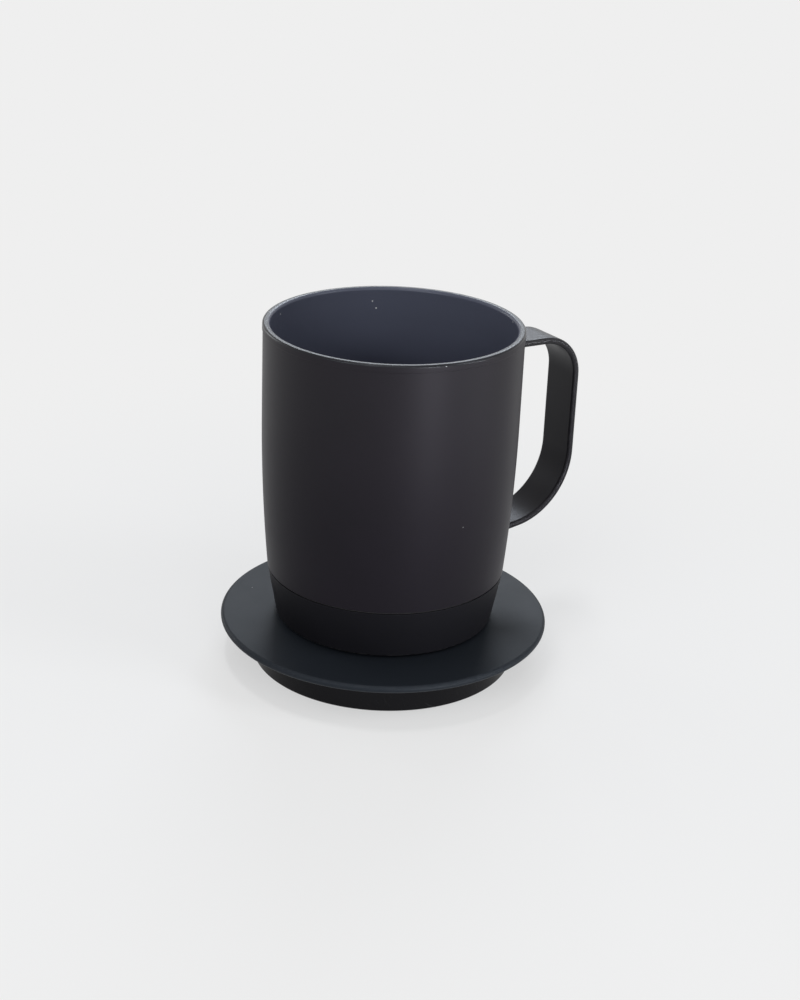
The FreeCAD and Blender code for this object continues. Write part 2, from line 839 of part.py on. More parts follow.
def drum_housing():
    """Drum wall with a ledge for the cover and the inlet's opening."""
    wall = tube(drum_radius, drum_inner, drum_lift, disc_z)
    ledge = tube(drum_inner, drum_inner - ledge_width, cover_top, ledge_top)
    drum = united([wall, ledge])
    tools = [socket_mouth(-FIT, drum_radius - 2 * drum_wall, 3 * drum_wall)]
    reach = coaster_boss_radius + FIT
    tools += [rod(reach, cover_top, ledge_top, x, y) for x, y in coaster_screw_spots()]
    return cut_all(drum, tools)


def charger_outline():
    """Front edge, back edge and half width of the charger board."""
    return charger_board_front, drum_radius - charger_board_back, charger_board_width / 2


def charger_spots():
    """Places of the charger board's screws."""
    front, back, half = charger_outline()
    x = half - charger_post_inset
    low = front + charger_post_inset
    high = back - charger_back_inset
    return [(-x, low), (x, low), (-x, high), (x, high)]


def bottom_cover():
    """Cover inside the drum's lower edge, with posts for the charger board."""
    disc = tube(drum_inner - FIT, 0, cover_z, cover_top)
    board_low = cover_top + charger_board_lift
    posts = [rod(charger_post_radius, cover_top, board_low, x, y) for x, y in charger_spots()]
    cover = united([disc] + posts)
    tools = [rod(charger_screw_radius + THREAD, cover_top, board_low, x, y)
             for x, y in charger_spots()]
    for x, y in coaster_screw_spots():
        tools.append(rod(coaster_screw_radius + FIT, cover_z, cover_top, x, y))
        tools.append(rod(coaster_head_radius + FIT, cover_z, cover_z + coaster_head_height, x, y))
    return cut_all(cover, tools)


def base_pad():
    """Soft disc that the coaster stands on."""
    return tube(drum_inner - FIT, 0, 0, pad_thick)


def coaster_screws():
    """Four screws from under the pad up into the disc's bosses."""
    return group([flat_screw(x, y, cover_z, coaster_head_radius, coaster_head_height,
                             coaster_screw_radius, cover_z + coaster_screw_depth)
                  for x, y in coaster_screw_spots()])


def charger_board():
    """Board that carries the inlet and the pins' barrels."""
    front, back, half = charger_outline()
    low = cover_top + charger_board_lift
    board = block(-half, half, front, back, low, socket_z)
    back_round = rod(drum_inner - ledge_width - FIT, low, socket_z)
    holes = [rod(charger_screw_radius + FIT, low, socket_z, x, y) for x, y in charger_spots()]
    return cut_all(board.common(back_round), holes)


def charger_screws():
    """Four small screws through the charger board."""
    return group([flat_screw(x, y, socket_z + charger_head_height, charger_head_radius,
                             charger_head_height, charger_screw_radius, cover_top + THREAD)
                  for x, y in charger_spots()])


def charger_chips():
    """Parts on the charger board."""
    chips = [(-8, 12, 5.0, 5.0, 0.9), (6, 14, 7.0, 6.0, 2.4), (-9, 22, 4.0, 4.0, 1.6),
             (0, -12, 6.0, 4.0, 1.2), (9, -10, 3.0, 5.0, 1.5)]
    return group([block(x - w / 2, x + w / 2, y - d / 2, y + d / 2, socket_z, socket_z + h)
                  for x, y, w, d, h in chips])


def socket_shell():
    """Metal shell of the power inlet, closed at its back."""
    start = socket_end() - socket_length
    shell = socket_mouth(0.0, start, socket_length)
    inside = socket_mouth(socket_wall, start + socket_wall, socket_length)
    return shell.cut(inside)


def socket_tongue():
    """Contact tongue inside the inlet."""
    start = socket_end() - socket_length + socket_wall
    return block(-tongue_width / 2, tongue_width / 2, start, start + tongue_length,
                 socket_mid - tongue_thick / 2, socket_mid + tongue_thick / 2)


def barrel_bore():
    """Radius of the barrels' bore."""
    return pin_collar_radius + SLIP


def pin_barrels():
    """Two tubes on the charger board that guide the pins."""
    bore = barrel_bore()
    outer = bore + barrel_wall
    crimp = pin_radius + SLIP
    barrels = []
    for x, y in pin_places().values():
        barrel = turned([
            (0, socket_z), (outer, socket_z), (outer, barrel_top()), (crimp, barrel_top()),
            (crimp, barrel_top() - barrel_wall), (bore, barrel_top() - barrel_wall),
            (bore, socket_z + barrel_floor), (0, socket_z + barrel_floor)])
        barrel.translate(V(x, y, 0))
        barrels.append(barrel)
    return group(barrels)


def collar_z():
    """Height of a pin's lower end."""
    return pin_tip_z() - pin_collar_drop - pin_collar_height


def charging_pin(place):
    """Pin with a rounded tip and a collar that runs in the barrel."""
    low = collar_z()
    pin = turned([
        (0, low), (pin_collar_radius, low), (pin_collar_radius, low + pin_collar_height),
        (pin_radius, low + pin_collar_height), (pin_radius, pin_tip_z(), pin_tip_round),
        (0, pin_tip_z())])
    pin.translate(V(place[0], place[1], 0))
    return pin


def pin_spring(place):
    """Coil under a pin's collar."""
    low = socket_z + barrel_floor + spring_wire / 2
    height = collar_z() - spring_wire / 2 - low
    radius = pin_collar_radius - spring_wire
    helix = Part.makeHelix(height / spring_turns, height, radius)
    circle = Part.Wire(Part.Circle(V(radius, 0, 0), V(0, 1, 0), spring_wire / 2).toShape())
    coil = Part.Wire(helix).makePipeShell([circle], True, True)
    coil.translate(V(place[0], place[1], low))
    return coil


def write(name, shape):
    """Export one node."""
    shape.exportStep(os.path.join("parts", name + ".step"))
    print(name, len(shape.Solids), round(shape.Volume, 2), shape.isValid())


def build():
    """Make and export every node."""
    os.makedirs("parts", exist_ok=True)
    inner_pin = pin_places()["inner"]
    outer_pin = pin_places()["outer"]
    nodes = {
        "outer_shell": outer_shell(),
        "inner_liner": inner_liner(),
        "handle": handle(),
        "base_shell": base_shell(),
        "seam_gasket": seam_gasket(),
        "bottom_plate": bottom_plate(),
        "foot_ring": foot_ring(),
        "contact_ring_inner": contact_ring(pin_circle_inner, tail_turn_inner),
        "contact_ring_outer": contact_ring(pin_circle_outer, tail_turn_outer),
        "power_button": power_button(),
        "button_boot": button_boot(),
        "power_switch": power_switch(),
        "main_board": main_board(),
        "main_board_chips": main_board_chips(),
        "main_board_screws": main_board_screws(),
        "status_led": status_led(),
        "light_pipe": light_pipe(),
        "battery_tray": battery_tray(),
        "tray_lid": tray_lid(),
        "cell_a": cell(0),
        "cell_b": cell(1),
        "cell_links": cell_links(),
        "mount_ring": mount_ring(),
        "base_screws": base_screws(),
        "heater_film": heater_film(),
        "spreader_plate": spreader_plate(),
        "insulation_disc": insulation_disc(),
        "insulation_sleeve": insulation_sleeve(),
        "heater_leads": heater_leads(),
        "temperature_sensor": temperature_sensor(),
        "coaster_top": coaster_top(),
        "drum_housing": drum_housing(),
        "bottom_cover": bottom_cover(),
        "base_pad": base_pad(),
        "coaster_screws": coaster_screws(),
        "charger_board": charger_board(),
        "charger_chips": charger_chips(),
        "charger_screws": charger_screws(),
        "socket_shell": socket_shell(),
        "socket_tongue": socket_tongue(),
        "pin_barrels": pin_barrels(),
        "charging_pin_inner": charging_pin(inner_pin),
        "charging_pin_outer": charging_pin(outer_pin),
        "pin_spring_inner": pin_spring(inner_pin),
        "pin_spring_outer": pin_spring(outer_pin),
    }
    for name, shape in nodes.items():
        write(name, shape)


build()
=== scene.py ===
"""Looks of a self-heating mug on its charging coaster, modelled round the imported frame."""

import logging
import math
from dataclasses import dataclass, field
from enum import Enum
from typing import Any, Callable, Iterable, Sequence

import bmesh
import bpy
from mathutils import Matrix, Vector

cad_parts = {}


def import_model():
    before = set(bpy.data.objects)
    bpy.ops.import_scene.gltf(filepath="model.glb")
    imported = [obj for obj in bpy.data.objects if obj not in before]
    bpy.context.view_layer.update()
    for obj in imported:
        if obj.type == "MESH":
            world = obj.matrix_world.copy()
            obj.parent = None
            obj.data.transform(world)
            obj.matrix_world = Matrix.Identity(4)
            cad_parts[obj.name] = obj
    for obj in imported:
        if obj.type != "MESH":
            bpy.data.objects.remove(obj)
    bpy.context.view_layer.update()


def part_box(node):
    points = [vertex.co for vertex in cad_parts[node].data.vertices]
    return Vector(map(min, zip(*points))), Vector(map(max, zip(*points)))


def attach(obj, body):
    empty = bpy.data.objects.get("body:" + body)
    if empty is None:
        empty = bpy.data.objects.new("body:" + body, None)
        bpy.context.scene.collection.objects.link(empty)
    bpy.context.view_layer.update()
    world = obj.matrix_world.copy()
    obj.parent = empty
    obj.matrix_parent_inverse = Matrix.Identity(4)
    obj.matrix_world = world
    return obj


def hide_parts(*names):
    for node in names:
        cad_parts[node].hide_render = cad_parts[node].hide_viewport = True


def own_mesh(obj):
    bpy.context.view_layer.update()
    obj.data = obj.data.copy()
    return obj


LOG = logging.getLogger("mug")

Colour = tuple[float, float, float]
Place = tuple[float, float, float]
Pair = tuple[float, float]
Test = Callable[[Vector], bool]
Socket = bpy.types.NodeSocket

MM = 0.001
RIGHT_ANGLE = math.pi / 2
FULL_TURN = 2 * math.pi
FINE = 192              # sides of a large round piece
MEDIUM = 96             # sides of a piece the size of a coin
SMALL = 40              # sides of a pin or a hole
SAME = 2e-6             # two places nearer than this are one place
PAST = 1 * MM           # how far a cutter reaches past what it cuts
SMOOTH = math.radians(31)

# Measures that more than one sub-assembly shares
CONTACT_CIRCLES = (11.5 * MM, 18.5 * MM)
PIN_PLACES = (-11.5 * MM, 18.5 * MM)
BASE_SCREW_CIRCLE = 31.0 * MM
BASE_SCREW_HOLE = 1.37 * MM
BASE_SCREW_TURN = 45.0
LIGHT_HEIGHT = 23.6 * MM
INLET_HEIGHT = 7.78 * MM


class Pick(Enum):
    """What a selection takes."""

    CORNERS = "VERT"
    EDGES = "EDGE"
    FACES = "FACE"


class Body(Enum):
    """The moving bodies of the frame."""

    COASTER = "coaster"
    MUG = "mug"
    BUTTON = "power_button"
    PIN_INNER = "charging_pin_inner"
    PIN_OUTER = "charging_pin_outer"


# Reading the frame

def low_of(node: str) -> float:
    """Height of a node's lowest point."""
    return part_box(node)[0].z


def high_of(node: str) -> float:
    """Height of a node's highest point."""
    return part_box(node)[1].z


def radius_of(node: str) -> float:
    """Outer radius of a round node, from how far it reaches along Y."""
    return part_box(node)[1].y


def reach_of(node: str) -> float:
    """How far a node reaches along X."""
    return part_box(node)[1].x


def measured(reader: Callable[[str], float], node: str) -> Any:
    """Dataclass field, in metres, that a reader takes from a node when its class is built."""
    return field(default_factory=lambda: reader(node))


# Places and selections

def ring_places(circle: float, first: float, count: int = 4) -> list[Pair]:
    """The x and y of places evenly spaced on a circle, from the first one's angle in degrees."""
    angles = [math.radians(first) + FULL_TURN * i / count for i in range(count)]
    return [(circle * math.cos(a), circle * math.sin(a)) for a in angles]


def on_ring(radius: float, height: float) -> Test:
    """Test that is true for the corners of a ring round the upright axis."""
    return lambda v: abs(math.hypot(v.x, v.y) - radius) < SAME and abs(v.z - height) < SAME


def clear_selection() -> None:
    """Leave edit mode and deselect every object."""
    if bpy.context.mode != "OBJECT":
        bpy.ops.object.mode_set(mode="OBJECT")
    bpy.ops.object.select_all(action="DESELECT")


class Workpiece:
    """A mesh that is shaped in edit mode with Blender's own tools."""

    def __init__(self, name: str) -> None:
        """Take over the primitive that was just added, with its place in its mesh.

        Args:
            name: Name of the piece.
        """
        self.object = bpy.context.object
        self.object.name = name
        self.object.data.name = name
        bpy.ops.object.transform_apply(location=True, rotation=True, scale=True)
        self.open()

    def open(self) -> None:
        """Open the piece alone in edit mode, with all of it selected."""
        self.activate()
        bpy.ops.object.mode_set(mode="EDIT")
        bpy.ops.mesh.select_all(action="SELECT")

    def activate(self) -> None:
        """Make the piece the only selected object."""
        clear_selection()
        self.object.select_set(True)
        bpy.context.view_layer.objects.active = self.object

    def select(self, test: Test, pick: Pick = Pick.EDGES) -> None:
        """Select what has every corner inside a test.

        Args:
            test: Whether a corner's place counts.
            pick: Whether corners or edges are taken.
        """
        bpy.ops.mesh.select_mode(type=pick.value)
        bpy.ops.mesh.select_all(action="DESELECT")
        mesh = bmesh.from_edit_mesh(self.object.data)
        single = pick is Pick.CORNERS
        for item in mesh.verts if single else mesh.edges:
            corners = [item] if single else item.verts
            if all(test(v.co) for v in corners):
                item.select_set(True)
        mesh.select_flush_mode()
        bmesh.update_edit_mesh(self.object.data)

    def select_all(self, pick: Pick) -> None:
        """Select the whole piece, as corners, edges or faces."""
        bpy.ops.mesh.select_mode(type=pick.value)
        bpy.ops.mesh.select_all(action="SELECT")

    def extrude(self, shift: Sequence[float]) -> None:
        """Extrude the selection by a shift."""
        bpy.ops.mesh.extrude_region_move(TRANSFORM_OT_translate={"value": tuple(shift)})

    def resize(self, factors: Sequence[float], centre: Sequence[float]) -> None:
        """Scale the selection about a point."""
        bpy.ops.transform.resize(value=tuple(factors), center_override=tuple(centre))

    def bevel(self, width: float, steps: int, corners: bool = False) -> None:
        """Round the selected edges or corners, from a width away and in so many facets."""
        bpy.ops.mesh.bevel(offset=width, segments=steps, profile=0.5, clamp_overlap=False,
                           affect="VERTICES" if corners else "EDGES")

    def outward(self) -> None:
        """Turn every face outwards."""
        self.select_all(Pick.CORNERS)
        bpy.ops.mesh.normals_make_consistent(inside=False)

    def modify(self, kind: str, **settings: Any) -> None:
        """Add a modifier and apply it at once.

        Args:
            kind: The modifier's type.
            settings: Its properties.
        """
        self.activate()
        modifier = self.object.modifiers.new(kind.lower(), kind)
        for name, value in settings.items():
            setattr(modifier, name, value)
        bpy.ops.object.modifier_apply(modifier=modifier.name)

    def cut(self, cutter: "Workpiece") -> None:
        """Cut another piece's shape away and drop that piece."""
        self.modify("BOOLEAN", operation="DIFFERENCE", solver="EXACT", object=cutter.object)
        bpy.data.objects.remove(cutter.object, do_unlink=True)

    def add(self, others: Iterable["Workpiece"]) -> None:
        """Take other pieces into this one as separate shells.

        Args:
            others: The other pieces.
        """
        self.activate()
        for other in others:
            other.object.select_set(True)
        bpy.ops.object.join()

    def copy(self, name: str) -> "Workpiece":
        """Copy with its own mesh.

        Args:
            name: Name of the copy.

        Returns:
            The copy, as a workpiece.
        """
        clear_selection()
        twin = Workpiece.__new__(Workpiece)
        twin.object = self.object.copy()
        twin.object.data = self.object.data.copy()
        twin.object.name = name
        twin.object.data.name = name
        bpy.context.scene.collection.objects.link(twin.object)
        return twin

    def place(self, shift: Sequence[float], turn: Sequence[float] = (0, 0, 0)) -> None:
        """Turn and then shift the whole piece, and put its place into its mesh.

        Args:
            shift: How far it moves.
            turn: Rotation about X, Y and Z in radians.
        """
        self.activate()
        self.object.rotation_euler = tuple(turn)
        self.object.location = tuple(shift)
        bpy.ops.object.transform_apply(location=True, rotation=True, scale=True)

    def complete(self, material: bpy.types.Material, body: Body, node: str) -> bpy.types.Object:
        """Smooth the piece, dress it and put it on its body.

        Args:
            material: The finish.
            body: The body that it rides on.
            node: The frame's node that it stands for.

        Returns:
            The finished object.
        """
        self.activate()
        bpy.ops.object.shade_smooth_by_angle(angle=SMOOTH)
        self.modify("WEIGHTED_NORMAL", keep_sharp=True, weight=50)
        self.object.data.materials.clear()
        self.object.data.materials.append(material)
        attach(self.object, body.value)
        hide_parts(node)
        LOG.info("%s: %d faces on %s", self.object.name, len(self.object.data.polygons), body.value)
        return self.object

    def second_coat(self, material: bpy.types.Material, test: Test) -> None:
        """Give another finish to the faces whose middle is inside a test.

        Args:
            material: The other finish.
            test: Whether a face's middle counts.
        """
        mesh = self.object.data
        mesh.materials.append(material)
        for face in mesh.polygons:
            if test(face.center):
                face.material_index = 1


@dataclass(frozen=True)
class Corner:
    """A corner of a turned outline.

    Attributes:
        radius: Its distance from the axis.
        height: Its height.
        round: Radius of its rounding.
        steps: Facets of its rounding.
    """

    radius: float
    height: float
    round: float = 0.0
    steps: int = 2


class Turned(Workpiece):
    """A round piece, drawn up ring by ring from a circle."""

    def __init__(self, name: str, outline: Sequence[Corner], sides: int = FINE) -> None:
        """Draw the rings of an outline, close it and round its corners.

        Args:
            name: Name of the piece.
            outline: The corners in order. An outline that starts and ends on the axis makes a
                solid piece, and any other is bridged from its last ring to its first.
            sides: Sides of each ring.
        """
        solid = outline[0].radius == 0.0
        rings = outline[1:-1] if solid else outline
        clear_selection()
        bpy.ops.mesh.primitive_circle_add(vertices=sides, radius=rings[0].radius,
                                          location=(0, 0, rings[0].height))
        super().__init__(name)
        bpy.ops.mesh.select_mode(type="EDGE")
        for before, ring in zip(rings, rings[1:]):
            self.extrude((0, 0, ring.height - before.height))
            share = ring.radius / before.radius
            self.resize((share, share, 1), (0, 0, ring.height))
        if solid:
            self.close_pole(rings[0], outline[0].height)
            self.close_pole(rings[-1], outline[-1].height)
        else:
            first = on_ring(rings[0].radius, rings[0].height)
            last = on_ring(rings[-1].radius, rings[-1].height)
            self.select(lambda v: first(v) or last(v))
            bpy.ops.mesh.bridge_edge_loops()
        self.round_corners(outline)
        self.outward()

    def close_pole(self, ring: Corner, height: float) -> None:
        """Close an open ring with a fan to a point on the axis.

        Args:
            ring: The open ring.
            height: Height of the point.
        """
        self.select(on_ring(ring.radius, ring.height))
        self.extrude((0, 0, height - ring.height))
        bpy.ops.mesh.merge(type="CENTER")

    def round_corners(self, outline: Sequence[Corner]) -> None:
        """Round each corner of the outline that has a rounding.

        Args:
            outline: The corners in order.
        """
        count = len(outline)
        for i, corner in enumerate(outline):
            if corner.round == 0.0:
                continue
            before = outline[i - 1]
            after = outline[(i + 1) % count]
            back = Vector((before.radius - corner.radius, before.height - corner.height))
            ahead = Vector((after.radius - corner.radius, after.height - corner.height))
            half = back.angle(ahead) / 2
            self.select(on_ring(corner.radius, corner.height))
            self.bevel(corner.round / math.tan(half), corner.steps)


def groove(inner: float, outer: float, face: float, roof: float, edge: float) -> list[Corner]:
    """Corners of a groove in a level face, from its inner side to its outer side."""
    return [Corner(inner, face, edge), Corner(inner, roof), Corner(outer, roof),
            Corner(outer, face, edge)]


def drills(places: Iterable[Pair], radius: float, low: float, high: float) -> Workpiece:
    """Upright rods that cut holes.

    Args:
        places: The x and y of each hole.
        radius: Radius of the holes.
        low: Height where they start.
        high: Height where they end.

    Returns:
        One workpiece with all the rods.
    """
    rods = []
    for x, y in places:
        clear_selection()
        bpy.ops.mesh.primitive_cylinder_add(vertices=SMALL, radius=radius, depth=high - low,
                                            location=(x, y, (low + high) / 2))
        rods.append(Workpiece("drill"))
    if len(rods) > 1:
        rods[0].add(rods[1:])
    return rods[0]


def posts(places: Iterable[Pair], radius: float, bore: float, low: float,
          high: float) -> list[Workpiece]:
    """Hollow upright posts, modelled once and copied.

    Args:
        places: The x and y of each post.
        radius: Outer radius.
        bore: Radius of the screw's hole.
        low: Height where they start.
        high: Height where they end.

    Returns:
        The posts.
    """
    edge = 0.2 * MM
    first = Turned("post", [Corner(bore, low), Corner(radius, low, edge),
                            Corner(radius, high, edge), Corner(bore, high)], SMALL)
    twins = []
    for x, y in places:
        twin = first.copy("post_copy")
        twin.place((x, y, 0))
        twins.append(twin)
    bpy.data.objects.remove(first.object, do_unlink=True)
    return twins


def section(name: str, size: Pair, turn: Sequence[float], corner: float,
            middle: Sequence[float], steps: int) -> Workpiece:
    """Rounded rectangle that a bar or a strap is drawn from.

    Args:
        name: Name of the piece.
        size: Its size along X and Y, before it is turned.
        turn: Rotation about X, Y and Z in radians.
        corner: Radius of its corners.
        middle: Where its middle is.
        steps: Facets of each corner.

    Returns:
        The section, open in edit mode with its face selected.
    """
    clear_selection()
    bpy.ops.mesh.primitive_plane_add(size=1.0)
    plane = bpy.context.object
    plane.scale = (*size, 1)
    plane.rotation_euler = turn
    plane.location = middle
    piece = Workpiece(name)
    piece.bevel(corner, steps, corners=True)
    piece.select_all(Pick.FACES)
    return piece


def flat_bar(name: str, size: Pair, corner: float, start: Place, length: float,
             steps: int) -> Workpiece:
    """Bar along +Y with a rounded rectangle for its section.

    Args:
        name: Name of the piece.
        size: Its size along X and Z.
        corner: Radius of the section's corners.
        start: Middle of its first end.
        length: Its length.
        steps: Facets of each corner.

    Returns:
        The bar, open in edit mode with its far end selected.
    """
    bar = section(name, size, (-RIGHT_ANGLE, 0, 0), corner, start, steps)
    bar.extrude((0, length, 0))
    return bar


# Shader graphs

def opaque(colour: Any) -> Any:
    """Colour with its alpha, where it is written as three numbers."""
    return (*colour, 1.0) if isinstance(colour, tuple) else colour


class Graph:
    """A node tree that is being wired."""

    MIX_A = 6
    MIX_B = 7
    MIX_RESULT = 2

    def __init__(self, tree: bpy.types.NodeTree) -> None:
        """Wrap a tree."""
        self.tree = tree

    def node(self, kind: str, sockets: dict[Any, Any], **settings: Any) -> bpy.types.Node:
        """Add a node.

        Args:
            kind: Its type, without the words that every shader node starts with.
            sockets: For each input, by name or number, a value or the output that feeds it.
            settings: Its properties.

        Returns:
            The node.
        """
        node = self.tree.nodes.new("ShaderNode" + kind)
        for name, value in settings.items():
            setattr(node, name, value)
        for key, value in sockets.items():
            if isinstance(value, Socket):
                self.tree.links.new(value, node.inputs[key])
            else:
                node.inputs[key].default_value = value
        return node

    def feed(self, inputs: Any, **outputs: Socket) -> None:
        """Link outputs to inputs by name."""
        for name, output in outputs.items():
            self.tree.links.new(output, inputs[name])

    def math(self, operation: str, *values: Any) -> Socket:
        """Output of one sum."""
        return self.node("Math", dict(enumerate(values)), operation=operation).outputs[0]

    def times(self, first: Any, second: Any) -> Socket:
        """Output of a product."""
        return self.math("MULTIPLY", first, second)

    def clamped(self, operation: str, *values: Any) -> Socket:
        """Output of one sum, kept between 0 and 1."""
        sockets = dict(enumerate(values))
        return self.node("Math", sockets, operation=operation, use_clamp=True).outputs[0]

    def parts(self, place: Socket) -> Any:
        """Outputs X, Y and Z of a place."""
        return self.node("SeparateXYZ", {"Vector": place}).outputs

    def radius(self, place: Socket) -> Socket:
        """Distance of a place from the upright axis."""
        squares = [self.times(part, part) for part in self.parts(place)[:2]]
        return self.math("SQRT", self.math("ADD", *squares))

    def mix(self, share: Any, first: Any, second: Any) -> Socket:
        """Colour between two colours, each a socket or three numbers, by the second's share."""
        sockets = {0: share, self.MIX_A: opaque(first), self.MIX_B: opaque(second)}
        return self.node("Mix", sockets, data_type="RGBA").outputs[self.MIX_RESULT]

    def between(self, value: Any, low: float, high: float, start: Any = 0.0,
                end: Any = 1.0) -> Socket:
        """Value carried smoothly from one range to another.

        Args:
            value: The value.
            low: Where the first range starts.
            high: Where it ends.
            start: Result at the start.
            end: Result at the end.

        Returns:
            The new value's output.
        """
        sockets = {"Value": value, "From Min": low, "From Max": high,
                   "To Min": start, "To Max": end}
        return self.node("MapRange", sockets, interpolation_type="SMOOTHSTEP").outputs["Result"]

    def noise(self, vector: Socket, scale: Any, detail: float = 2.0,
              distortion: float = 0.0) -> Socket:
        """Noise of about 0.5 on average, with so many features to a metre."""
        sockets = {"Vector": vector, "Scale": scale, "Detail": detail, "Distortion": distortion}
        return self.node("TexNoise", sockets).outputs[0]

    def cells(self, vector: Socket, scale: Any, **settings: Any) -> Any:
        """Outputs of a pattern of cells, with so many to a metre."""
        return self.node("TexVoronoi", {"Vector": vector, "Scale": scale}, **settings).outputs


class Effect(Enum):
    """Shared effects, each one shader node group, made by the shelf's method of that name."""

    MOTTLE = "mottle"
    GRAIN = "grain"
    SMUDGE = "smudge"
    SPECKS = "specks"
    RINGS = "rings"
    WEAR = "wear"
    HAIRLINES = "hairlines"
    TRACKS = "tracks"


class EffectShelf:
    """Makes each shared effect once and hands it out."""

    DRIFT = (0.2, 0.8)          # noise between which a slow drift runs
    GRAIN_SHARES = (0.6, 0.4)   # soft noise and cells in a fine skin
    FINER = 9.0                 # how much finer the small smudges are
    SMUDGE_SHARES = (0.75, 0.25)
    SPECK_LEAST = 0.3           # smallest speck, as a share of the usual size
    SPECK_RAGGED = 0.4          # smallest reach of a speck's ragged edge
    WORN = (0.42, 0.62)         # noise between which wear breaks up
    LINE = (0.72, 0.78)         # noise between which a scratch shows
    SCRATCH_TURNS = ((0.3, 0.2, 0.5), (0.1, -0.4, 1.7), (-0.2, 0.3, 2.6))
    TRACK_SHARE = 0.45          # a track's width, as a share of the pitch
    FIELD_SCALE = 0.09          # fields of tracks to a pitch
    TURNED_SHARE = 0.5          # fields whose tracks run the other way
    BUSY_SHARE = 0.7            # fields with tracks
    PAD_SCALE = 0.2             # pads to a pitch
    PAD_REACH = 0.13            # half a pad, as a share of their spacing

    def __init__(self) -> None:
        """Start with an empty shelf."""
        self.groups: dict[Effect, bpy.types.NodeTree] = {}

    def use(self, graph: Graph, effect: Effect, **sockets: Any) -> Any:
        """Put an effect into a material.

        Args:
            graph: The material's graph.
            effect: Which effect.
            sockets: Its inputs, by their names in lower case.

        Returns:
            The effect's outputs.
        """
        if effect not in self.groups:
            getattr(self, effect.value)()
        named = {name.capitalize(): opaque(value) for name, value in sockets.items()}
        return graph.node("Group", named, node_tree=self.groups[effect]).outputs

    def start(self, effect: Effect, inputs: Sequence[str], outputs: Sequence[str],
              colours: Sequence[str] = ()) -> tuple[Graph, Any, Any]:
        """Start a group.

        Args:
            effect: The effect that it makes.
            inputs: Names of its inputs besides Vector.
            outputs: Names of its outputs.
            colours: Which of the names are colours and not numbers.

        Returns:
            The graph, the group's inputs and the group's outputs.
        """
        tree = bpy.data.node_groups.new(effect.value, "ShaderNodeTree")
        tree.interface.new_socket("Vector", in_out="INPUT", socket_type="NodeSocketVector")
        for side, names in (("INPUT", inputs), ("OUTPUT", outputs)):
            for name in names:
                kind = "NodeSocketColor" if name in colours else "NodeSocketFloat"
                tree.interface.new_socket(name, in_out=side, socket_type=kind)
        self.groups[effect] = tree
        source = tree.nodes.new("NodeGroupInput")
        target = tree.nodes.new("NodeGroupOutput")
        return Graph(tree), source.outputs, target.inputs

    def mottle(self) -> None:
        """Slow drift between two colours."""
        graph, given, result = self.start(Effect.MOTTLE, ("Size", "Colour", "Shade"),
                                          ("Colour", "Mask"), ("Colour", "Shade"))
        scale = graph.math("DIVIDE", 1.0, given["Size"])
        cloud = graph.noise(given["Vector"], scale, detail=1.5, distortion=0.3)
        mask = graph.between(cloud, *self.DRIFT)
        graph.feed(result, Mask=mask, Colour=graph.mix(mask, given["Colour"], given["Shade"]))

    def grain(self) -> None:
        """Fine skin of a coated or moulded surface."""
        graph, given, result = self.start(Effect.GRAIN, ("Size",), ("Height",))
        scale = graph.math("DIVIDE", 1.0, given["Size"])
        soft = graph.noise(given["Vector"], scale)
        cells = graph.cells(given["Vector"], scale, feature="SMOOTH_F1")["Distance"]
        both = [graph.times(*pair) for pair in zip((soft, cells), self.GRAIN_SHARES)]
        graph.feed(result, Height=graph.math("ADD", *both))

    def smudge(self) -> None:
        """Roughness that drifts where hands and cloths have passed."""
        graph, given, result = self.start(Effect.SMUDGE, ("Size", "Low", "High"), ("Roughness",))
        scale = graph.math("DIVIDE", 1.0, given["Size"])
        broad = graph.noise(given["Vector"], scale, distortion=0.6)
        fine = graph.noise(given["Vector"], graph.times(scale, self.FINER))
        both = [graph.times(*pair) for pair in zip((broad, fine), self.SMUDGE_SHARES)]
        rough = graph.between(graph.math("ADD", *both), *self.DRIFT, given["Low"], given["High"])
        graph.feed(result, Roughness=rough)

    def specks(self) -> None:
        """Sparse specks of dust, of uneven sizes."""
        graph, given, result = self.start(Effect.SPECKS, ("Spacing", "Size", "Share"), ("Mask",))
        scale = graph.math("DIVIDE", 1.0, given["Spacing"])
        finest = graph.math("DIVIDE", 1.0, given["Size"])
        wobble = graph.noise(given["Vector"], finest, detail=1.0)
        cells = graph.cells(given["Vector"], scale)
        chance = graph.node("SeparateColor", {"Color": cells["Color"]}).outputs
        distance = graph.times(cells["Distance"], given["Spacing"])
        reach = graph.times(given["Size"], graph.math("ADD", self.SPECK_LEAST, chance["Green"]))
        ragged = graph.times(reach, graph.math("ADD", self.SPECK_RAGGED, wobble))
        inside = graph.math("LESS_THAN", distance, ragged)
        chosen = graph.math("LESS_THAN", chance["Red"], given["Share"])
        graph.feed(result, Mask=graph.times(inside, chosen))

    def rings(self) -> None:
        """Concentric marks that turning or polishing leaves round the axis."""
        graph, given, result = self.start(Effect.RINGS, ("Pitch",), ("Height",))
        steps = graph.math("DIVIDE", graph.radius(given["Vector"]), given["Pitch"])
        marks = graph.node("TexNoise", {"W": steps, "Scale": 1.0, "Detail": 3.0},
                           noise_dimensions="1D").outputs[0]
        graph.feed(result, Height=marks)

    def wear(self) -> None:
        """Broken band of wear along an edge, by how far a position is from the edge."""
        graph, given, result = self.start(Effect.WEAR, ("Position", "Edge", "Width", "Size"),
                                          ("Mask",))
        away = graph.math("ABSOLUTE", graph.math("SUBTRACT", given["Position"], given["Edge"]))
        near = graph.clamped("SUBTRACT", 1.0, graph.math("DIVIDE", away, given["Width"]))
        scale = graph.math("DIVIDE", 1.0, given["Size"])
        broken = graph.between(graph.noise(given["Vector"], scale, detail=5.0), *self.WORN)
        graph.feed(result, Mask=graph.times(near, broken))

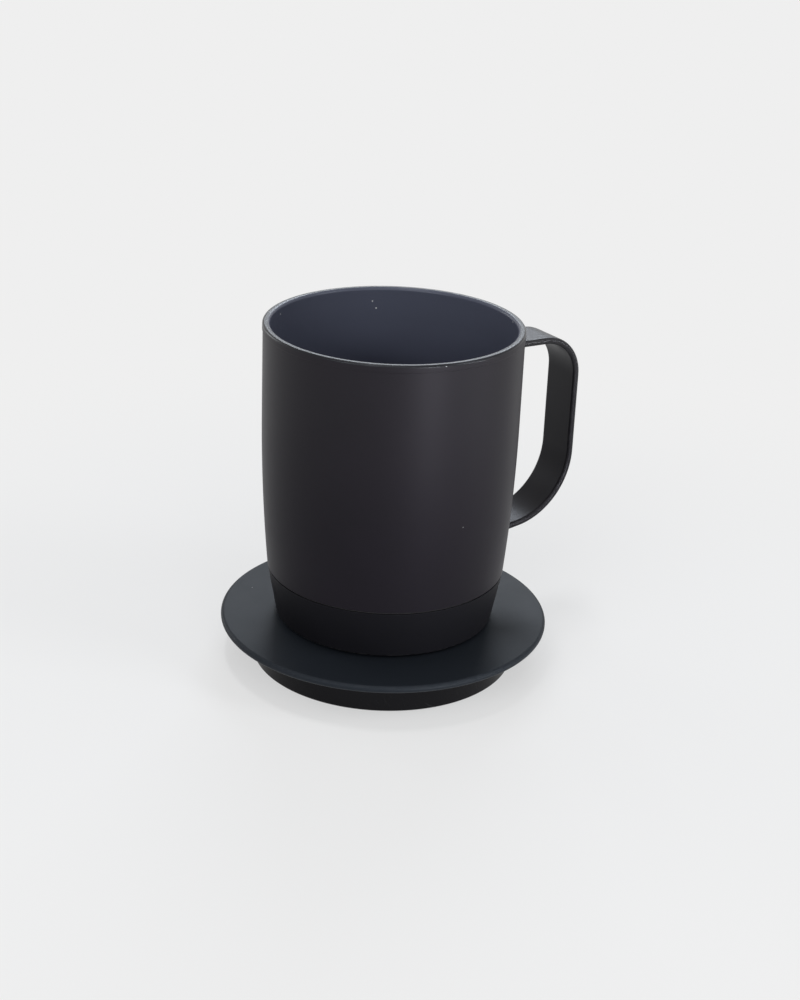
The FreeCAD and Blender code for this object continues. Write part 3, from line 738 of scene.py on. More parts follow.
    def hairlines(self) -> None:
        """Sparse thin scratches in three directions."""
        graph, given, result = self.start(Effect.HAIRLINES, ("Size", "Width"), ("Mask",))
        lines = []
        for turn in self.SCRATCH_TURNS:
            turned = graph.node("VectorRotate", {"Vector": given["Vector"], "Rotation": turn},
                                rotation_type="EULER_XYZ").outputs[0]
            sizes = (given["Width"], given["Size"], given["Size"])
            shares = [graph.math("DIVIDE", *pair) for pair in zip(graph.parts(turned), sizes)]
            stretched = graph.node("CombineXYZ", dict(enumerate(shares))).outputs[0]
            lines.append(graph.between(graph.noise(stretched, 1.0, detail=1.0), *self.LINE))
        first = graph.math("MAXIMUM", lines[0], lines[1])
        graph.feed(result, Mask=graph.math("MAXIMUM", first, lines[2]))

    def tracks(self) -> None:
        """Tracks of a circuit board: runs along X in some fields and along Y in others."""
        graph, given, result = self.start(Effect.TRACKS, ("Pitch",), ("Track", "Pad"))
        lines = []
        for part in graph.parts(given["Vector"])[:2]:
            run = graph.math("FRACT", graph.math("DIVIDE", part, given["Pitch"]))
            lines.append(graph.math("LESS_THAN", run, self.TRACK_SHARE))
        flat = graph.node("VectorMath", {0: given["Vector"], 1: (1.0, 1.0, 0.0)},
                          operation="MULTIPLY").outputs[0]
        squares = {"distance": "CHEBYCHEV", "voronoi_dimensions": "2D"}
        field_scale = graph.math("DIVIDE", self.FIELD_SCALE, given["Pitch"])
        fields = graph.cells(flat, field_scale, **squares)
        chance = graph.node("SeparateColor", {"Color": fields["Color"]}).outputs
        turned = graph.math("LESS_THAN", chance["Red"], self.TURNED_SHARE)
        upright = graph.times(turned, lines[0])
        level = graph.times(graph.math("SUBTRACT", 1.0, turned), lines[1])
        busy = graph.math("LESS_THAN", chance["Blue"], self.BUSY_SHARE)
        pad_scale = graph.math("DIVIDE", self.PAD_SCALE, given["Pitch"])
        pads = graph.cells(flat, pad_scale, **squares)
        graph.feed(result, Track=graph.times(graph.math("ADD", upright, level), busy),
                   Pad=graph.math("LESS_THAN", pads["Distance"], self.PAD_REACH))


class Coating(Graph):
    """A material in the making, with the colour, roughness and height that it has so far."""

    def __init__(self, tree: bpy.types.NodeTree, shelf: EffectShelf) -> None:
        """Start with nothing but the place that its patterns read.

        Args:
            tree: The material's node tree.
            shelf: Where the shared effects come from.
        """
        super().__init__(tree)
        tree.nodes.clear()
        self.shelf = shelf
        self.place = self.node("TexCoord", {}).outputs["Object"]
        self.colour: Any = None
        self.rough: Any = None
        self.height: Any = None

    def effect(self, effect: Effect, **sockets: Any) -> Any:
        """Outputs of a shared effect at the place."""
        return self.shelf.use(self, effect, vector=self.place, **sockets)

    def lay(self, mask: Socket, colour: Colour) -> None:
        """Lay another colour on, by a mask."""
        self.colour = self.mix(mask, self.colour, colour)

    def lift(self, mask: Socket, depth: float) -> None:
        """Raise the surface by a depth in metres, by a mask."""
        self.height = self.math("ADD", self.height, self.times(mask, depth))


class Axis(Enum):
    """Which way a zone of wear is measured."""

    RADIUS = "radius"
    ALONG_Y = "Y"
    HEIGHT = "Z"


@dataclass(frozen=True)
class Wear:
    """A band along an edge where a finish is rubbed.

    Attributes:
        axis: How the band's place is measured.
        edge: Where its middle is.
        width: Half its width.
        strength: How strongly it shows.
    """

    axis: Axis
    edge: float
    width: float
    strength: float

    BREAKS = 1.6 * MM       # size of its worn spots

    def mask(self, coating: Coating) -> Socket:
        """Where the band shows.

        Args:
            coating: The material in the making.

        Returns:
            The mask's output.
        """
        if self.axis is Axis.RADIUS:
            position = coating.radius(coating.place)
        else:
            position = coating.math("ABSOLUTE", coating.parts(coating.place)[self.axis.value])
        worn = coating.effect(Effect.WEAR, position=position, edge=self.edge, width=self.width,
                              size=self.BREAKS)["Mask"]
        return coating.times(worn, self.strength)


@dataclass(frozen=True)
class Finish:
    """A finish with the small irregularities of a made and used surface.

    Attributes:
        name: Name of the material.
        colour: Its colour.
        shade: The colour that it drifts to.
        rubbed: The colour where an edge is worn.
        roughness: Lowest and highest roughness.
        metallic: How metallic it is.
        specular: Strength of its reflection, 0.5 being usual.
        mottle_size: Size of the colour's drift.
        smudge_size: Size of the roughness's drift.
        grain_size: Size of its fine skin.
        grain_depth: Depth of its fine skin.
        ring_pitch: Spacing of turning marks, 0 for none.
        ring_depth: Depth of turning marks.
        coat: Strength of a clear coat, where it is thinnest and where it is fullest.
        coat_range: Heights where it is thinnest and where it is fullest.
        coat_roughness: Roughness of the clear coat.
        sheen: Strength of a soft sheen.
        dust: Share of places that hold a speck of dust.
        scratches: Strength of fine scratches.
        wear: Bands of wear.
        scope: How deep light goes into it, 0 for an opaque finish.
        tint: Colour of its reflection, seen straight on.
        dust_size: Size of a speck of dust.
    """

    name: str
    colour: Colour
    shade: Colour
    rubbed: Colour = (0.3, 0.3, 0.3)
    roughness: tuple[float, float] = (0.4, 0.5)
    metallic: float = 0.0
    specular: float = 0.5
    mottle_size: float = 25 * MM
    smudge_size: float = 22 * MM
    grain_size: float = 0.45 * MM
    grain_depth: float = 0.003 * MM
    ring_pitch: float = 0.0
    ring_depth: float = 0.0
    coat: tuple[float, float] = (0.0, 0.0)
    coat_range: tuple[float, float] = (0.0, 1.0)
    coat_roughness: float = 0.1
    sheen: float = 0.0
    dust: float = 0.0
    scratches: float = 0.0
    wear: tuple[Wear, ...] = ()
    scope: float = 0.0
    tint: Colour = (1.0, 1.0, 1.0)
    dust_size: float = 0.16 * MM

    DUST_SPACING = 5.5 * MM
    DUST_COLOUR = (0.55, 0.56, 0.58)
    DUST_ROUGHNESS = 0.9
    SCRATCH_SIZE = 5 * MM
    SCRATCH_WIDTH = 0.12 * MM
    POLISH = 0.12           # how much smoother a worn edge is

    def material(self, shelf: EffectShelf) -> bpy.types.Material:
        """Build the material.

        Args:
            shelf: Where the shared effects come from.

        Returns:
            The material.
        """
        material = bpy.data.materials.new(self.name)
        material.use_nodes = True
        material.diffuse_color = opaque(self.colour)
        coating = Coating(material.node_tree, shelf)
        self.pattern(coating)
        self.age(coating)
        coating.node("OutputMaterial", {"Surface": self.shader(coating)})
        return material

    def pattern(self, coating: Coating) -> None:
        """Give the bare finish its colour, roughness and height.

        Args:
            coating: The material in the making.
        """
        low, high = self.roughness
        coating.colour = coating.effect(Effect.MOTTLE, size=self.mottle_size, colour=self.colour,
                                        shade=self.shade)["Colour"]
        coating.rough = coating.effect(Effect.SMUDGE, size=self.smudge_size, low=low,
                                       high=high)["Roughness"]
        skin = coating.effect(Effect.GRAIN, size=self.grain_size)["Height"]
        coating.height = coating.times(skin, self.grain_depth)
        if self.ring_pitch > 0:
            marks = coating.effect(Effect.RINGS, pitch=self.ring_pitch)["Height"]
            coating.lift(marks, self.ring_depth)

    def age(self, coating: Coating) -> None:
        """Add worn edges, fine scratches and dust.

        Args:
            coating: The material in the making.
        """
        for band in self.wear:
            worn = band.mask(coating)
            coating.lay(worn, self.rubbed)
            coating.rough = coating.math("SUBTRACT", coating.rough,
                                         coating.times(worn, self.POLISH))
        if self.scratches > 0:
            lines = coating.effect(Effect.HAIRLINES, size=self.SCRATCH_SIZE,
                                   width=self.SCRATCH_WIDTH)["Mask"]
            faint = coating.times(lines, self.scratches)
            coating.lay(faint, self.rubbed)
            coating.rough = coating.clamped("ADD", coating.rough, faint)
        if self.dust > 0:
            specks = coating.effect(Effect.SPECKS, spacing=self.DUST_SPACING, size=self.dust_size,
                                    share=self.dust)["Mask"]
            coating.lay(specks, self.DUST_COLOUR)
            coating.rough = coating.math("MAXIMUM", coating.rough,
                                         coating.times(specks, self.DUST_ROUGHNESS))

    def shader(self, coating: Coating) -> Socket:
        """Principled shader of the finish.

        Args:
            coating: The material in the making.

        Returns:
            The shader's output.
        """
        bump = coating.node("Bump", {"Height": coating.height, "Distance": 1.0, "Strength": 1.0})
        sockets = {
            "Base Color": coating.colour,
            "Roughness": coating.rough,
            "Normal": bump.outputs["Normal"],
            "Metallic": self.metallic,
            "Specular IOR Level": self.specular,
            "Specular Tint": opaque(self.tint),
            "Coat Roughness": self.coat_roughness,
            "Sheen Weight": self.sheen,
            "Subsurface Weight": 1.0 if self.scope > 0 else 0.0,
            "Subsurface Scale": self.scope,
        }
        if self.coat[1] > 0:
            level = coating.parts(coating.place)["Z"]
            sockets["Coat Weight"] = coating.between(level, *self.coat_range, *self.coat)
        return coating.node("BsdfPrincipled", sockets).outputs[0]


@dataclass(frozen=True)
class CupFinish(Finish):
    """Coat of a cup: another colour on its lip, and painted shade that darkens the colour deeper
    below the rim.

    Attributes:
        beyond: Radius where the lip's coat starts.
        outer: Colour of the lip's coat.
        painted_shade: Colour deep in the cup, painted shade that stands for the dimmer light down
            inside.
        painted_shade_range: Heights between which the painted shade deepens, the higher one first.
    """

    beyond: float = 0.0
    outer: Colour = (0.0, 0.0, 0.0)
    painted_shade: Colour = (0.0, 0.0, 0.0)
    painted_shade_range: Pair = (0.0, 0.0)

    EDGE = 0.12 * MM

    def pattern(self, coating: Coating) -> None:
        """Lay the painted shade deep in the cup and the lip's coat on.

        Args:
            coating: The material in the making.
        """
        super().pattern(coating)
        level = coating.parts(coating.place)["Z"]
        # Painted shade: the colour darkens deeper in the cup, standing for the dimmer light down
        # inside.
        coating.lay(coating.between(level, *self.painted_shade_range), self.painted_shade)
        away = coating.radius(coating.place)
        outside = coating.between(away, self.beyond - self.EDGE, self.beyond + self.EDGE)
        coating.lay(outside, self.outer)


@dataclass(frozen=True)
class BoardFinish(Finish):
    """Solder mask over copper tracks, with tinned pads showing through."""

    TRACK = (0.012, 0.088, 0.038)
    PAD = (0.55, 0.55, 0.52)
    PITCH = 0.55 * MM
    COPPER = 0.035 * MM

    def pattern(self, coating: Coating) -> None:
        """Lay tracks and pads on.

        Args:
            coating: The material in the making.
        """
        super().pattern(coating)
        lines = coating.effect(Effect.TRACKS, pitch=self.PITCH)
        coating.lay(lines["Track"], self.TRACK)
        coating.lay(lines["Pad"], self.PAD)
        coating.lift(lines["Track"], self.COPPER)


@dataclass(frozen=True)
class WrapFinish(Finish):
    """Shrink wrap on a lying cell, with its bare metal ends showing."""

    TURN = math.radians(-45)
    METAL_FROM = 24.2 * MM
    METAL = (0.36, 0.355, 0.34)
    INSULATOR = (0.50, 0.50, 0.48)
    INSULATOR_WIDTH = 0.5 * MM

    def pattern(self, coating: Coating) -> None:
        """Lay a ring of insulation and bare metal on at each end.

        Args:
            coating: The material in the making.
        """
        super().pattern(coating)
        turned = coating.node("Mapping", {"Vector": coating.place, "Rotation": (0, 0, self.TURN)})
        along = coating.math("ABSOLUTE", coating.parts(turned.outputs[0])["X"])
        edge = coating.math("GREATER_THAN", along, self.METAL_FROM - self.INSULATOR_WIDTH)
        coating.lay(edge, self.INSULATOR)
        coating.lay(coating.math("GREATER_THAN", along, self.METAL_FROM), self.METAL)


@dataclass(frozen=True)
class FilmFinish(Finish):
    """Amber film over a resistance track that winds in rings."""

    TRACK = (0.30, 0.085, 0.02)
    PITCH = 2.1 * MM
    SHARE = 0.62
    THICK = 0.03 * MM
    GAP = 1.1 * MM

    def pattern(self, coating: Coating) -> None:
        """Lay the winding track on.

        Args:
            coating: The material in the making.
        """
        super().pattern(coating)
        away = coating.radius(coating.place)
        turn = coating.math("FRACT", coating.math("DIVIDE", away, self.PITCH))
        ring = coating.math("LESS_THAN", turn, self.SHARE)
        side = coating.math("ABSOLUTE", coating.parts(coating.place)["Y"])
        track = coating.times(ring, coating.math("GREATER_THAN", side, self.GAP))
        coating.lay(track, self.TRACK)
        coating.lift(track, self.THICK)


@dataclass(frozen=True)
class TongueFinish(Finish):
    """Moulded tongue with a row of gilt contact strips."""

    GILT = (0.75, 0.52, 0.22)
    PITCH = 0.5 * MM
    SHARE = 0.5
    HALF_ROW = 2.75 * MM
    STRIP_END = 40.7 * MM

    def pattern(self, coating: Coating) -> None:
        """Lay the strips on.

        Args:
            coating: The material in the making.
        """
        super().pattern(coating)
        parts = coating.parts(coating.place)
        turn = coating.math("FRACT", coating.math("DIVIDE", parts["X"], self.PITCH))
        strip = coating.math("LESS_THAN", turn, self.SHARE)
        inside = coating.math("LESS_THAN", coating.math("ABSOLUTE", parts["X"]), self.HALF_ROW)
        back = coating.math("LESS_THAN", parts["Y"], self.STRIP_END)
        coating.lay(coating.times(strip, coating.times(inside, back)), self.GILT)


class PaintShop:
    """Keeps the finishes' materials, each made once."""

    def __init__(self) -> None:
        """Start with no materials."""
        self.shelf = EffectShelf()
        self.materials: dict[str, bpy.types.Material] = {}

    def paint(self, finish: Finish) -> bpy.types.Material:
        """Material of a finish, made when it is first asked for.

        Args:
            finish: The finish.

        Returns:
            The material.
        """
        if finish.name not in self.materials:
            self.materials[finish.name] = finish.material(self.shelf)
        return self.materials[finish.name]

    def dress(self, node: str, finish: Finish) -> None:
        """Give a node of the frame its finish.

        Args:
            node: Name of the node.
            finish: The finish.
        """
        for holder in bpy.data.objects[node].material_slots:
            holder.material = self.paint(finish)
        LOG.info("%s: dressed in %s", node, finish.name)


# Finishes

SATIN_COAT = Finish("satin_charcoal_coat", (0.0078, 0.0067, 0.0088), (0.0068, 0.0061, 0.0076),
                    rubbed=(0.03, 0.03, 0.031), roughness=(0.44, 0.48), specular=0.095,
                    grain_depth=0.0016 * MM, dust=0.25, scratches=0.05, tint=(0.86, 0.78, 1.0),
                    coat=(0.01, 0.19), coat_range=(42 * MM, 114 * MM), coat_roughness=0.46,
                    wear=(Wear(Axis.HEIGHT, 33.3 * MM, 0.5 * MM, 0.2),))
HANDLE_COAT = Finish("handle_charcoal_coat", (0.0068, 0.0062, 0.0076), (0.0058, 0.0055, 0.0066),
                     rubbed=(0.034, 0.034, 0.036), roughness=(0.38, 0.42), specular=0.15,
                     grain_depth=0.0012 * MM, dust=0.15, scratches=0.03, tint=(0.92, 0.90, 1.0),
                     coat=(0.0, 0.16), coat_range=(58 * MM, 106 * MM), coat_roughness=0.32,
                     wear=(Wear(Axis.ALONG_Y, 7.1 * MM, 0.6 * MM, 0.25),))
# The liner carries painted shade: its colour darkens from the rim down to 82 mm, standing for the
# dimmer light deep in the cup.
LINER_COAT = CupFinish("slate_liner_coat", (0.077, 0.083, 0.115), (0.073, 0.079, 0.110),
                       rubbed=(0.07, 0.075, 0.09), roughness=(0.282, 0.305), specular=0.22,
                       grain_depth=0.0003 * MM, dust=1.0, dust_size=0.34 * MM,
                       tint=(0.90, 0.94, 1.0), beyond=40.25 * MM, outer=(0.0068, 0.0062, 0.0080),
                       painted_shade=(0.038, 0.041, 0.061), painted_shade_range=(114 * MM, 82 * MM))
BAND_PLASTIC = Finish("base_band_black", (0.0053, 0.0051, 0.0066), (0.0046, 0.0045, 0.0057),
                      rubbed=(0.03, 0.03, 0.032), roughness=(0.5, 0.56), specular=0.08,
                      grain_size=0.3 * MM, grain_depth=0.003 * MM, dust=0.15,
                      tint=(0.90, 0.90, 1.0), wear=(Wear(Axis.HEIGHT, 16.5 * MM, 0.5 * MM, 0.6),))
SEAL_RUBBER = Finish("seal_rubber", (0.008, 0.008, 0.008), (0.012, 0.012, 0.012),
                     roughness=(0.7, 0.8), specular=0.3, grain_size=0.2 * MM, dust=0.02)
DISC_PLASTIC = Finish("coaster_satin_black", (0.0108, 0.0132, 0.0174), (0.0098, 0.0121, 0.0160),
                      rubbed=(0.035, 0.037, 0.042), roughness=(0.48, 0.52), specular=0.12,
                      grain_size=0.35 * MM, grain_depth=0.0018 * MM, dust=0.4, scratches=0.12,
                      tint=(0.88, 0.94, 1.0), wear=(Wear(Axis.RADIUS, 54.6 * MM, 0.5 * MM, 0.15),))
DRUM_GLOSS = Finish("drum_gloss_black", (0.0042, 0.0040, 0.0046), (0.0048, 0.0046, 0.0052),
                    rubbed=(0.03, 0.03, 0.03), roughness=(0.16, 0.24), specular=0.12,
                    grain_size=1.6 * MM, grain_depth=0.002 * MM, dust=0.02, scratches=0.15,
                    tint=(0.94, 0.94, 1.0), wear=(Wear(Axis.HEIGHT, 0.6 * MM, 0.4 * MM, 0.6),))
UNDERSIDE = Finish("underside_matte", (0.0075, 0.0075, 0.0085), (0.0062, 0.0062, 0.0070),
                   rubbed=(0.04, 0.04, 0.042), roughness=(0.5, 0.6), specular=0.3,
                   grain_size=0.25 * MM, grain_depth=0.006 * MM, dust=0.04, scratches=0.25,
                   wear=(Wear(Axis.RADIUS, 33.3 * MM, 0.4 * MM, 0.5),))
FOOT_RUBBER = Finish("foot_rubber", (0.016, 0.016, 0.017), (0.012, 0.012, 0.013),
                     rubbed=(0.05, 0.05, 0.05), roughness=(0.66, 0.8), specular=0.35,
                     grain_size=0.2 * MM, grain_depth=0.008 * MM, dust=0.12,
                     wear=(Wear(Axis.HEIGHT, 14.3 * MM, 0.25 * MM, 0.7),))
PAD_RUBBER = Finish("grip_rubber", (0.014, 0.014, 0.015), (0.010, 0.010, 0.011),
                    rubbed=(0.05, 0.05, 0.05), roughness=(0.7, 0.82), specular=0.35,
                    grain_size=0.7 * MM, grain_depth=0.05 * MM, dust=0.16, scratches=0.1)
BOOT_RUBBER = Finish("boot_silicone", (0.16, 0.16, 0.165), (0.13, 0.13, 0.135),
                     roughness=(0.5, 0.62), specular=0.4, grain_size=0.3 * MM, dust=0.01)
GOLD = Finish("contact_gold", (0.80, 0.57, 0.26), (0.74, 0.51, 0.22), rubbed=(0.55, 0.42, 0.26),
              roughness=(0.28, 0.36), metallic=1.0, smudge_size=5 * MM, mottle_size=6 * MM,
              grain_depth=0.0006 * MM, ring_pitch=0.09 * MM, ring_depth=0.0012 * MM,
              dust=0.03, scratches=0.5)
BUTTON_PLASTIC = Finish("button_matte", (0.020, 0.020, 0.022), (0.016, 0.016, 0.018),
                        rubbed=(0.09, 0.09, 0.095), roughness=(0.44, 0.56), specular=0.4,
                        grain_size=0.22 * MM, grain_depth=0.004 * MM, dust=0.03, scratches=0.3,
                        wear=(Wear(Axis.RADIUS, 5.2 * MM, 0.4 * MM, 0.8),))
STEEL = Finish("bright_steel", (0.46, 0.46, 0.47), (0.38, 0.38, 0.39), rubbed=(0.2, 0.2, 0.2),
               roughness=(0.3, 0.42), metallic=1.0, smudge_size=3 * MM, mottle_size=4 * MM,
               grain_size=0.12 * MM, grain_depth=0.003 * MM, scratches=0.4)
SPRING_STEEL = Finish("coil_wire", (0.40, 0.39, 0.38), (0.33, 0.32, 0.31),
                      roughness=(0.28, 0.36), metallic=1.0, smudge_size=2 * MM,
                      grain_size=0.1 * MM, grain_depth=0.002 * MM)
NICKEL = Finish("nickel_strip", (0.62, 0.60, 0.55), (0.52, 0.50, 0.46), rubbed=(0.3, 0.29, 0.26),
                roughness=(0.28, 0.42), metallic=1.0, smudge_size=8 * MM,
                grain_size=0.3 * MM, grain_depth=0.004 * MM, scratches=0.5)
INLET_METAL = Finish("inlet_nickel", (0.56, 0.55, 0.53), (0.48, 0.47, 0.45),
                     rubbed=(0.25, 0.24, 0.22), roughness=(0.28, 0.36), metallic=1.0,
                     smudge_size=3 * MM, grain_size=0.15 * MM, grain_depth=0.002 * MM,
                     scratches=0.6, wear=(Wear(Axis.ALONG_Y, 43.0 * MM, 0.5 * MM, 0.8),))
SPREADER = Finish("spreader_aluminium", (0.70, 0.71, 0.72), (0.60, 0.61, 0.63),
                  rubbed=(0.4, 0.4, 0.42), roughness=(0.3, 0.45), metallic=1.0,
                  ring_pitch=0.2 * MM, ring_depth=0.004 * MM, scratches=0.5)
MILKY = Finish("milky_light_pipe", (0.78, 0.80, 0.82), (0.72, 0.74, 0.77), rubbed=(0.6, 0.6, 0.6),
               roughness=(0.28, 0.36), specular=0.5, smudge_size=2 * MM, mottle_size=2 * MM,
               grain_size=0.15 * MM, grain_depth=0.001 * MM, scope=0.6 * MM)
CHIP_BLACK = Finish("chip_epoxy", (0.012, 0.012, 0.013), (0.018, 0.018, 0.019),
                    rubbed=(0.06, 0.06, 0.06), roughness=(0.5, 0.66), specular=0.4,
                    mottle_size=2 * MM, grain_size=0.12 * MM, grain_depth=0.004 * MM)
TRAY_PLASTIC = Finish("tray_grey_nylon", (0.19, 0.20, 0.21), (0.16, 0.17, 0.18),
                      rubbed=(0.34, 0.35, 0.36), roughness=(0.48, 0.6), specular=0.4,
                      grain_size=0.35 * MM, grain_depth=0.005 * MM, scratches=0.2)
COVER_PLASTIC = Finish("cover_black", (0.012, 0.012, 0.013), (0.010, 0.010, 0.011),
                       rubbed=(0.05, 0.05, 0.05), roughness=(0.45, 0.56), specular=0.4,
                       grain_size=0.3 * MM, grain_depth=0.005 * MM, scratches=0.2)
FELT = Finish("needled_felt", (0.17, 0.165, 0.155), (0.13, 0.126, 0.118), rubbed=(0.22, 0.21, 0.2),
              roughness=(0.86, 0.95), specular=0.2, sheen=0.2, mottle_size=5 * MM,
              grain_size=0.25 * MM, grain_depth=0.10 * MM, scratches=0.9)
LEAD_SLEEVE = Finish("lead_sleeve_red", (0.30, 0.022, 0.018), (0.24, 0.018, 0.015),
                     rubbed=(0.4, 0.1, 0.09), roughness=(0.42, 0.55), specular=0.45,
                     mottle_size=3 * MM, grain_size=0.2 * MM, grain_depth=0.003 * MM)
SWITCH_PLASTIC = Finish("switch_housing", (0.035, 0.035, 0.037), (0.028, 0.028, 0.030),
                        rubbed=(0.1, 0.1, 0.1), roughness=(0.4, 0.55), mottle_size=2 * MM,
                        grain_size=0.15 * MM, grain_depth=0.003 * MM)
BOARD = BoardFinish("board_mask", (0.006, 0.050, 0.022), (0.005, 0.042, 0.018),
                    roughness=(0.28, 0.4), specular=0.5, grain_size=0.6 * MM, dust=0.01)
WRAP = WrapFinish("cell_wrap_teal", (0.010, 0.115, 0.120), (0.008, 0.095, 0.102),
                  rubbed=(0.2, 0.3, 0.3), roughness=(0.28, 0.36), specular=0.5,
                  grain_size=1.2 * MM, grain_depth=0.012 * MM, scratches=0.2)
FILM = FilmFinish("heater_film_amber", (0.42, 0.17, 0.028), (0.36, 0.14, 0.022),
                  rubbed=(0.5, 0.3, 0.1), roughness=(0.28, 0.36), specular=0.5,
                  grain_size=0.5 * MM, grain_depth=0.004 * MM)
TONGUE = TongueFinish("inlet_tongue", (0.012, 0.012, 0.013), (0.016, 0.016, 0.017),
                      rubbed=(0.5, 0.4, 0.2), roughness=(0.35, 0.5), specular=0.4,
                      mottle_size=2 * MM, grain_size=0.15 * MM, grain_depth=0.002 * MM)


# Sub-assemblies

@dataclass
class SubAssembly:
    """Pieces that are built together, and the shop that finishes them."""

    shop: PaintShop

    def fit(self, piece: Workpiece, finish: Finish, body: Body, node: str,
            slot: str) -> bpy.types.Object:
        """Finish a piece and put it on its body, in place of a node of the frame."""
        return piece.complete(self.shop.paint(finish), body, node)


@dataclass
class WallLine:
    """Outline of the mug's wall: upright above, and one long arc that draws it in below."""

    radius: float = measured(radius_of, "outer_shell")
    upright_from: float = 85.3 * MM
    arc: float = 587 * MM
    chords: int = 12

    def at(self, height: float, inset: float = 0.0) -> float:
        """Radius of the wall.

        Args:
            height: Height over the table.
            inset: How far inside the outer face.

        Returns:
            The radius at that height.
        """
        if height >= self.upright_from:
            return self.radius - inset
        drop = self.upright_from - height
        curve = self.arc - inset
        return self.radius - self.arc + math.sqrt(curve * curve - drop * drop)

    def rings(self, low: float, high: float, inset: float = 0.0) -> list[Corner]:
        """Corners of the wall's outline from low to high.

        Args:
            low: Height of the first corner.
            high: Height of the last corner.
            inset: How far inside the outer face.

        Returns:
            The corners, from the bottom up.
        """
        rise = self.upright_from - low
        heights = [low + rise * i / self.chords for i in range(self.chords + 1)] + [high]
        return [Corner(self.at(z, inset), z) for z in heights]


@dataclass
class OuterWall(SubAssembly):
    """Coated steel wall and the ring that seals the seam below it."""

    line: WallLine
    low: float = measured(low_of, "outer_shell")
    high: float = measured(high_of, "outer_shell")
    thick: float = 0.8 * MM
    hem_round: float = 0.22 * MM
    seal_low: float = measured(low_of, "seam_gasket")
    seal_radius: float = measured(radius_of, "seam_gasket")
    seal_inner: float = 38.4 * MM
    seal_round: float = 0.1 * MM

    def build(self) -> bpy.types.Object:
        """Make the wall and the seal.

        Returns:
            The wall, for the handle to be welded to.
        """
        outer = self.line.rings(self.low, self.high)
        inner = self.line.rings(self.low, self.high, self.thick)[::-1]
        hem = Corner(outer[0].radius, self.low, self.hem_round, steps=4)
        inner_hem = Corner(inner[-1].radius, self.low, self.hem_round, steps=4)
        wall = Turned("mug_wall", [hem, *outer[1:], *inner[:-1], inner_hem])
        shell = self.fit(wall, SATIN_COAT, Body.MUG, "outer_shell", "shell_coating")
        seal = Turned("seam_seal", [
            Corner(self.seal_inner, self.seal_low),
            Corner(self.seal_radius, self.seal_low, self.seal_round, steps=3),
            Corner(self.seal_radius, self.low, self.seal_round, steps=3),
            Corner(self.seal_inner, self.low)])
        self.fit(seal, SEAL_RUBBER, Body.MUG, "seam_gasket", "soft_ring")
        return shell


@dataclass
class Liner(SubAssembly):
    """Cup with a rounded floor and the drinking lip that closes the wall's top."""

    bottom: float = measured(low_of, "inner_liner")
    rim: float = measured(high_of, "inner_liner")
    lip_radius: float = measured(radius_of, "inner_liner")
    wall_top: float = measured(high_of, "outer_shell")
    lip_thick: float = 2.5 * MM
    lip_skin: float = 0.3 * MM
    thick: float = 0.8 * MM
    taper: float = 1.9 * MM
    floor_corner: float = 8 * MM
    floor_facets: int = 14
    mouth_depth: float = 12 * MM
    mouth_bend: float = 60 * MM
    outer_round: float = 0.75 * MM
    inner_round: float = 1.1 * MM
    under_round: float = 0.12 * MM

    def build(self) -> None:
        """Make the cup."""
        mouth = self.lip_radius - self.lip_thick
        floor = mouth - self.taper
        straight = self.rim - self.mouth_depth
        inside = self.bottom + self.thick
        cup = Turned("mug_liner", [
            Corner(0, inside),
            Corner(floor, inside, self.floor_corner, self.floor_facets),
            Corner(mouth, straight, self.mouth_bend, steps=4),
            Corner(mouth, self.rim, self.inner_round, steps=12),
            Corner(self.lip_radius, self.rim, self.outer_round, steps=8),
            Corner(self.lip_radius, self.wall_top, self.under_round, steps=3),
            Corner(mouth + self.thick, self.wall_top),
            Corner(mouth + self.thick, straight),
            Corner(floor + self.thick, self.bottom, self.floor_corner + self.thick,
                   self.floor_facets),
            Corner(0, self.bottom)])
        self.fit(cup, LINER_COAT, Body.MUG, "inner_liner", "liner_coating")
        collar = self.rim - self.outer_round
        skin = self.lip_radius - self.lip_skin
        cup.second_coat(self.shop.paint(SATIN_COAT),
                        lambda v: v.z < collar and math.hypot(v.x, v.y) > skin)


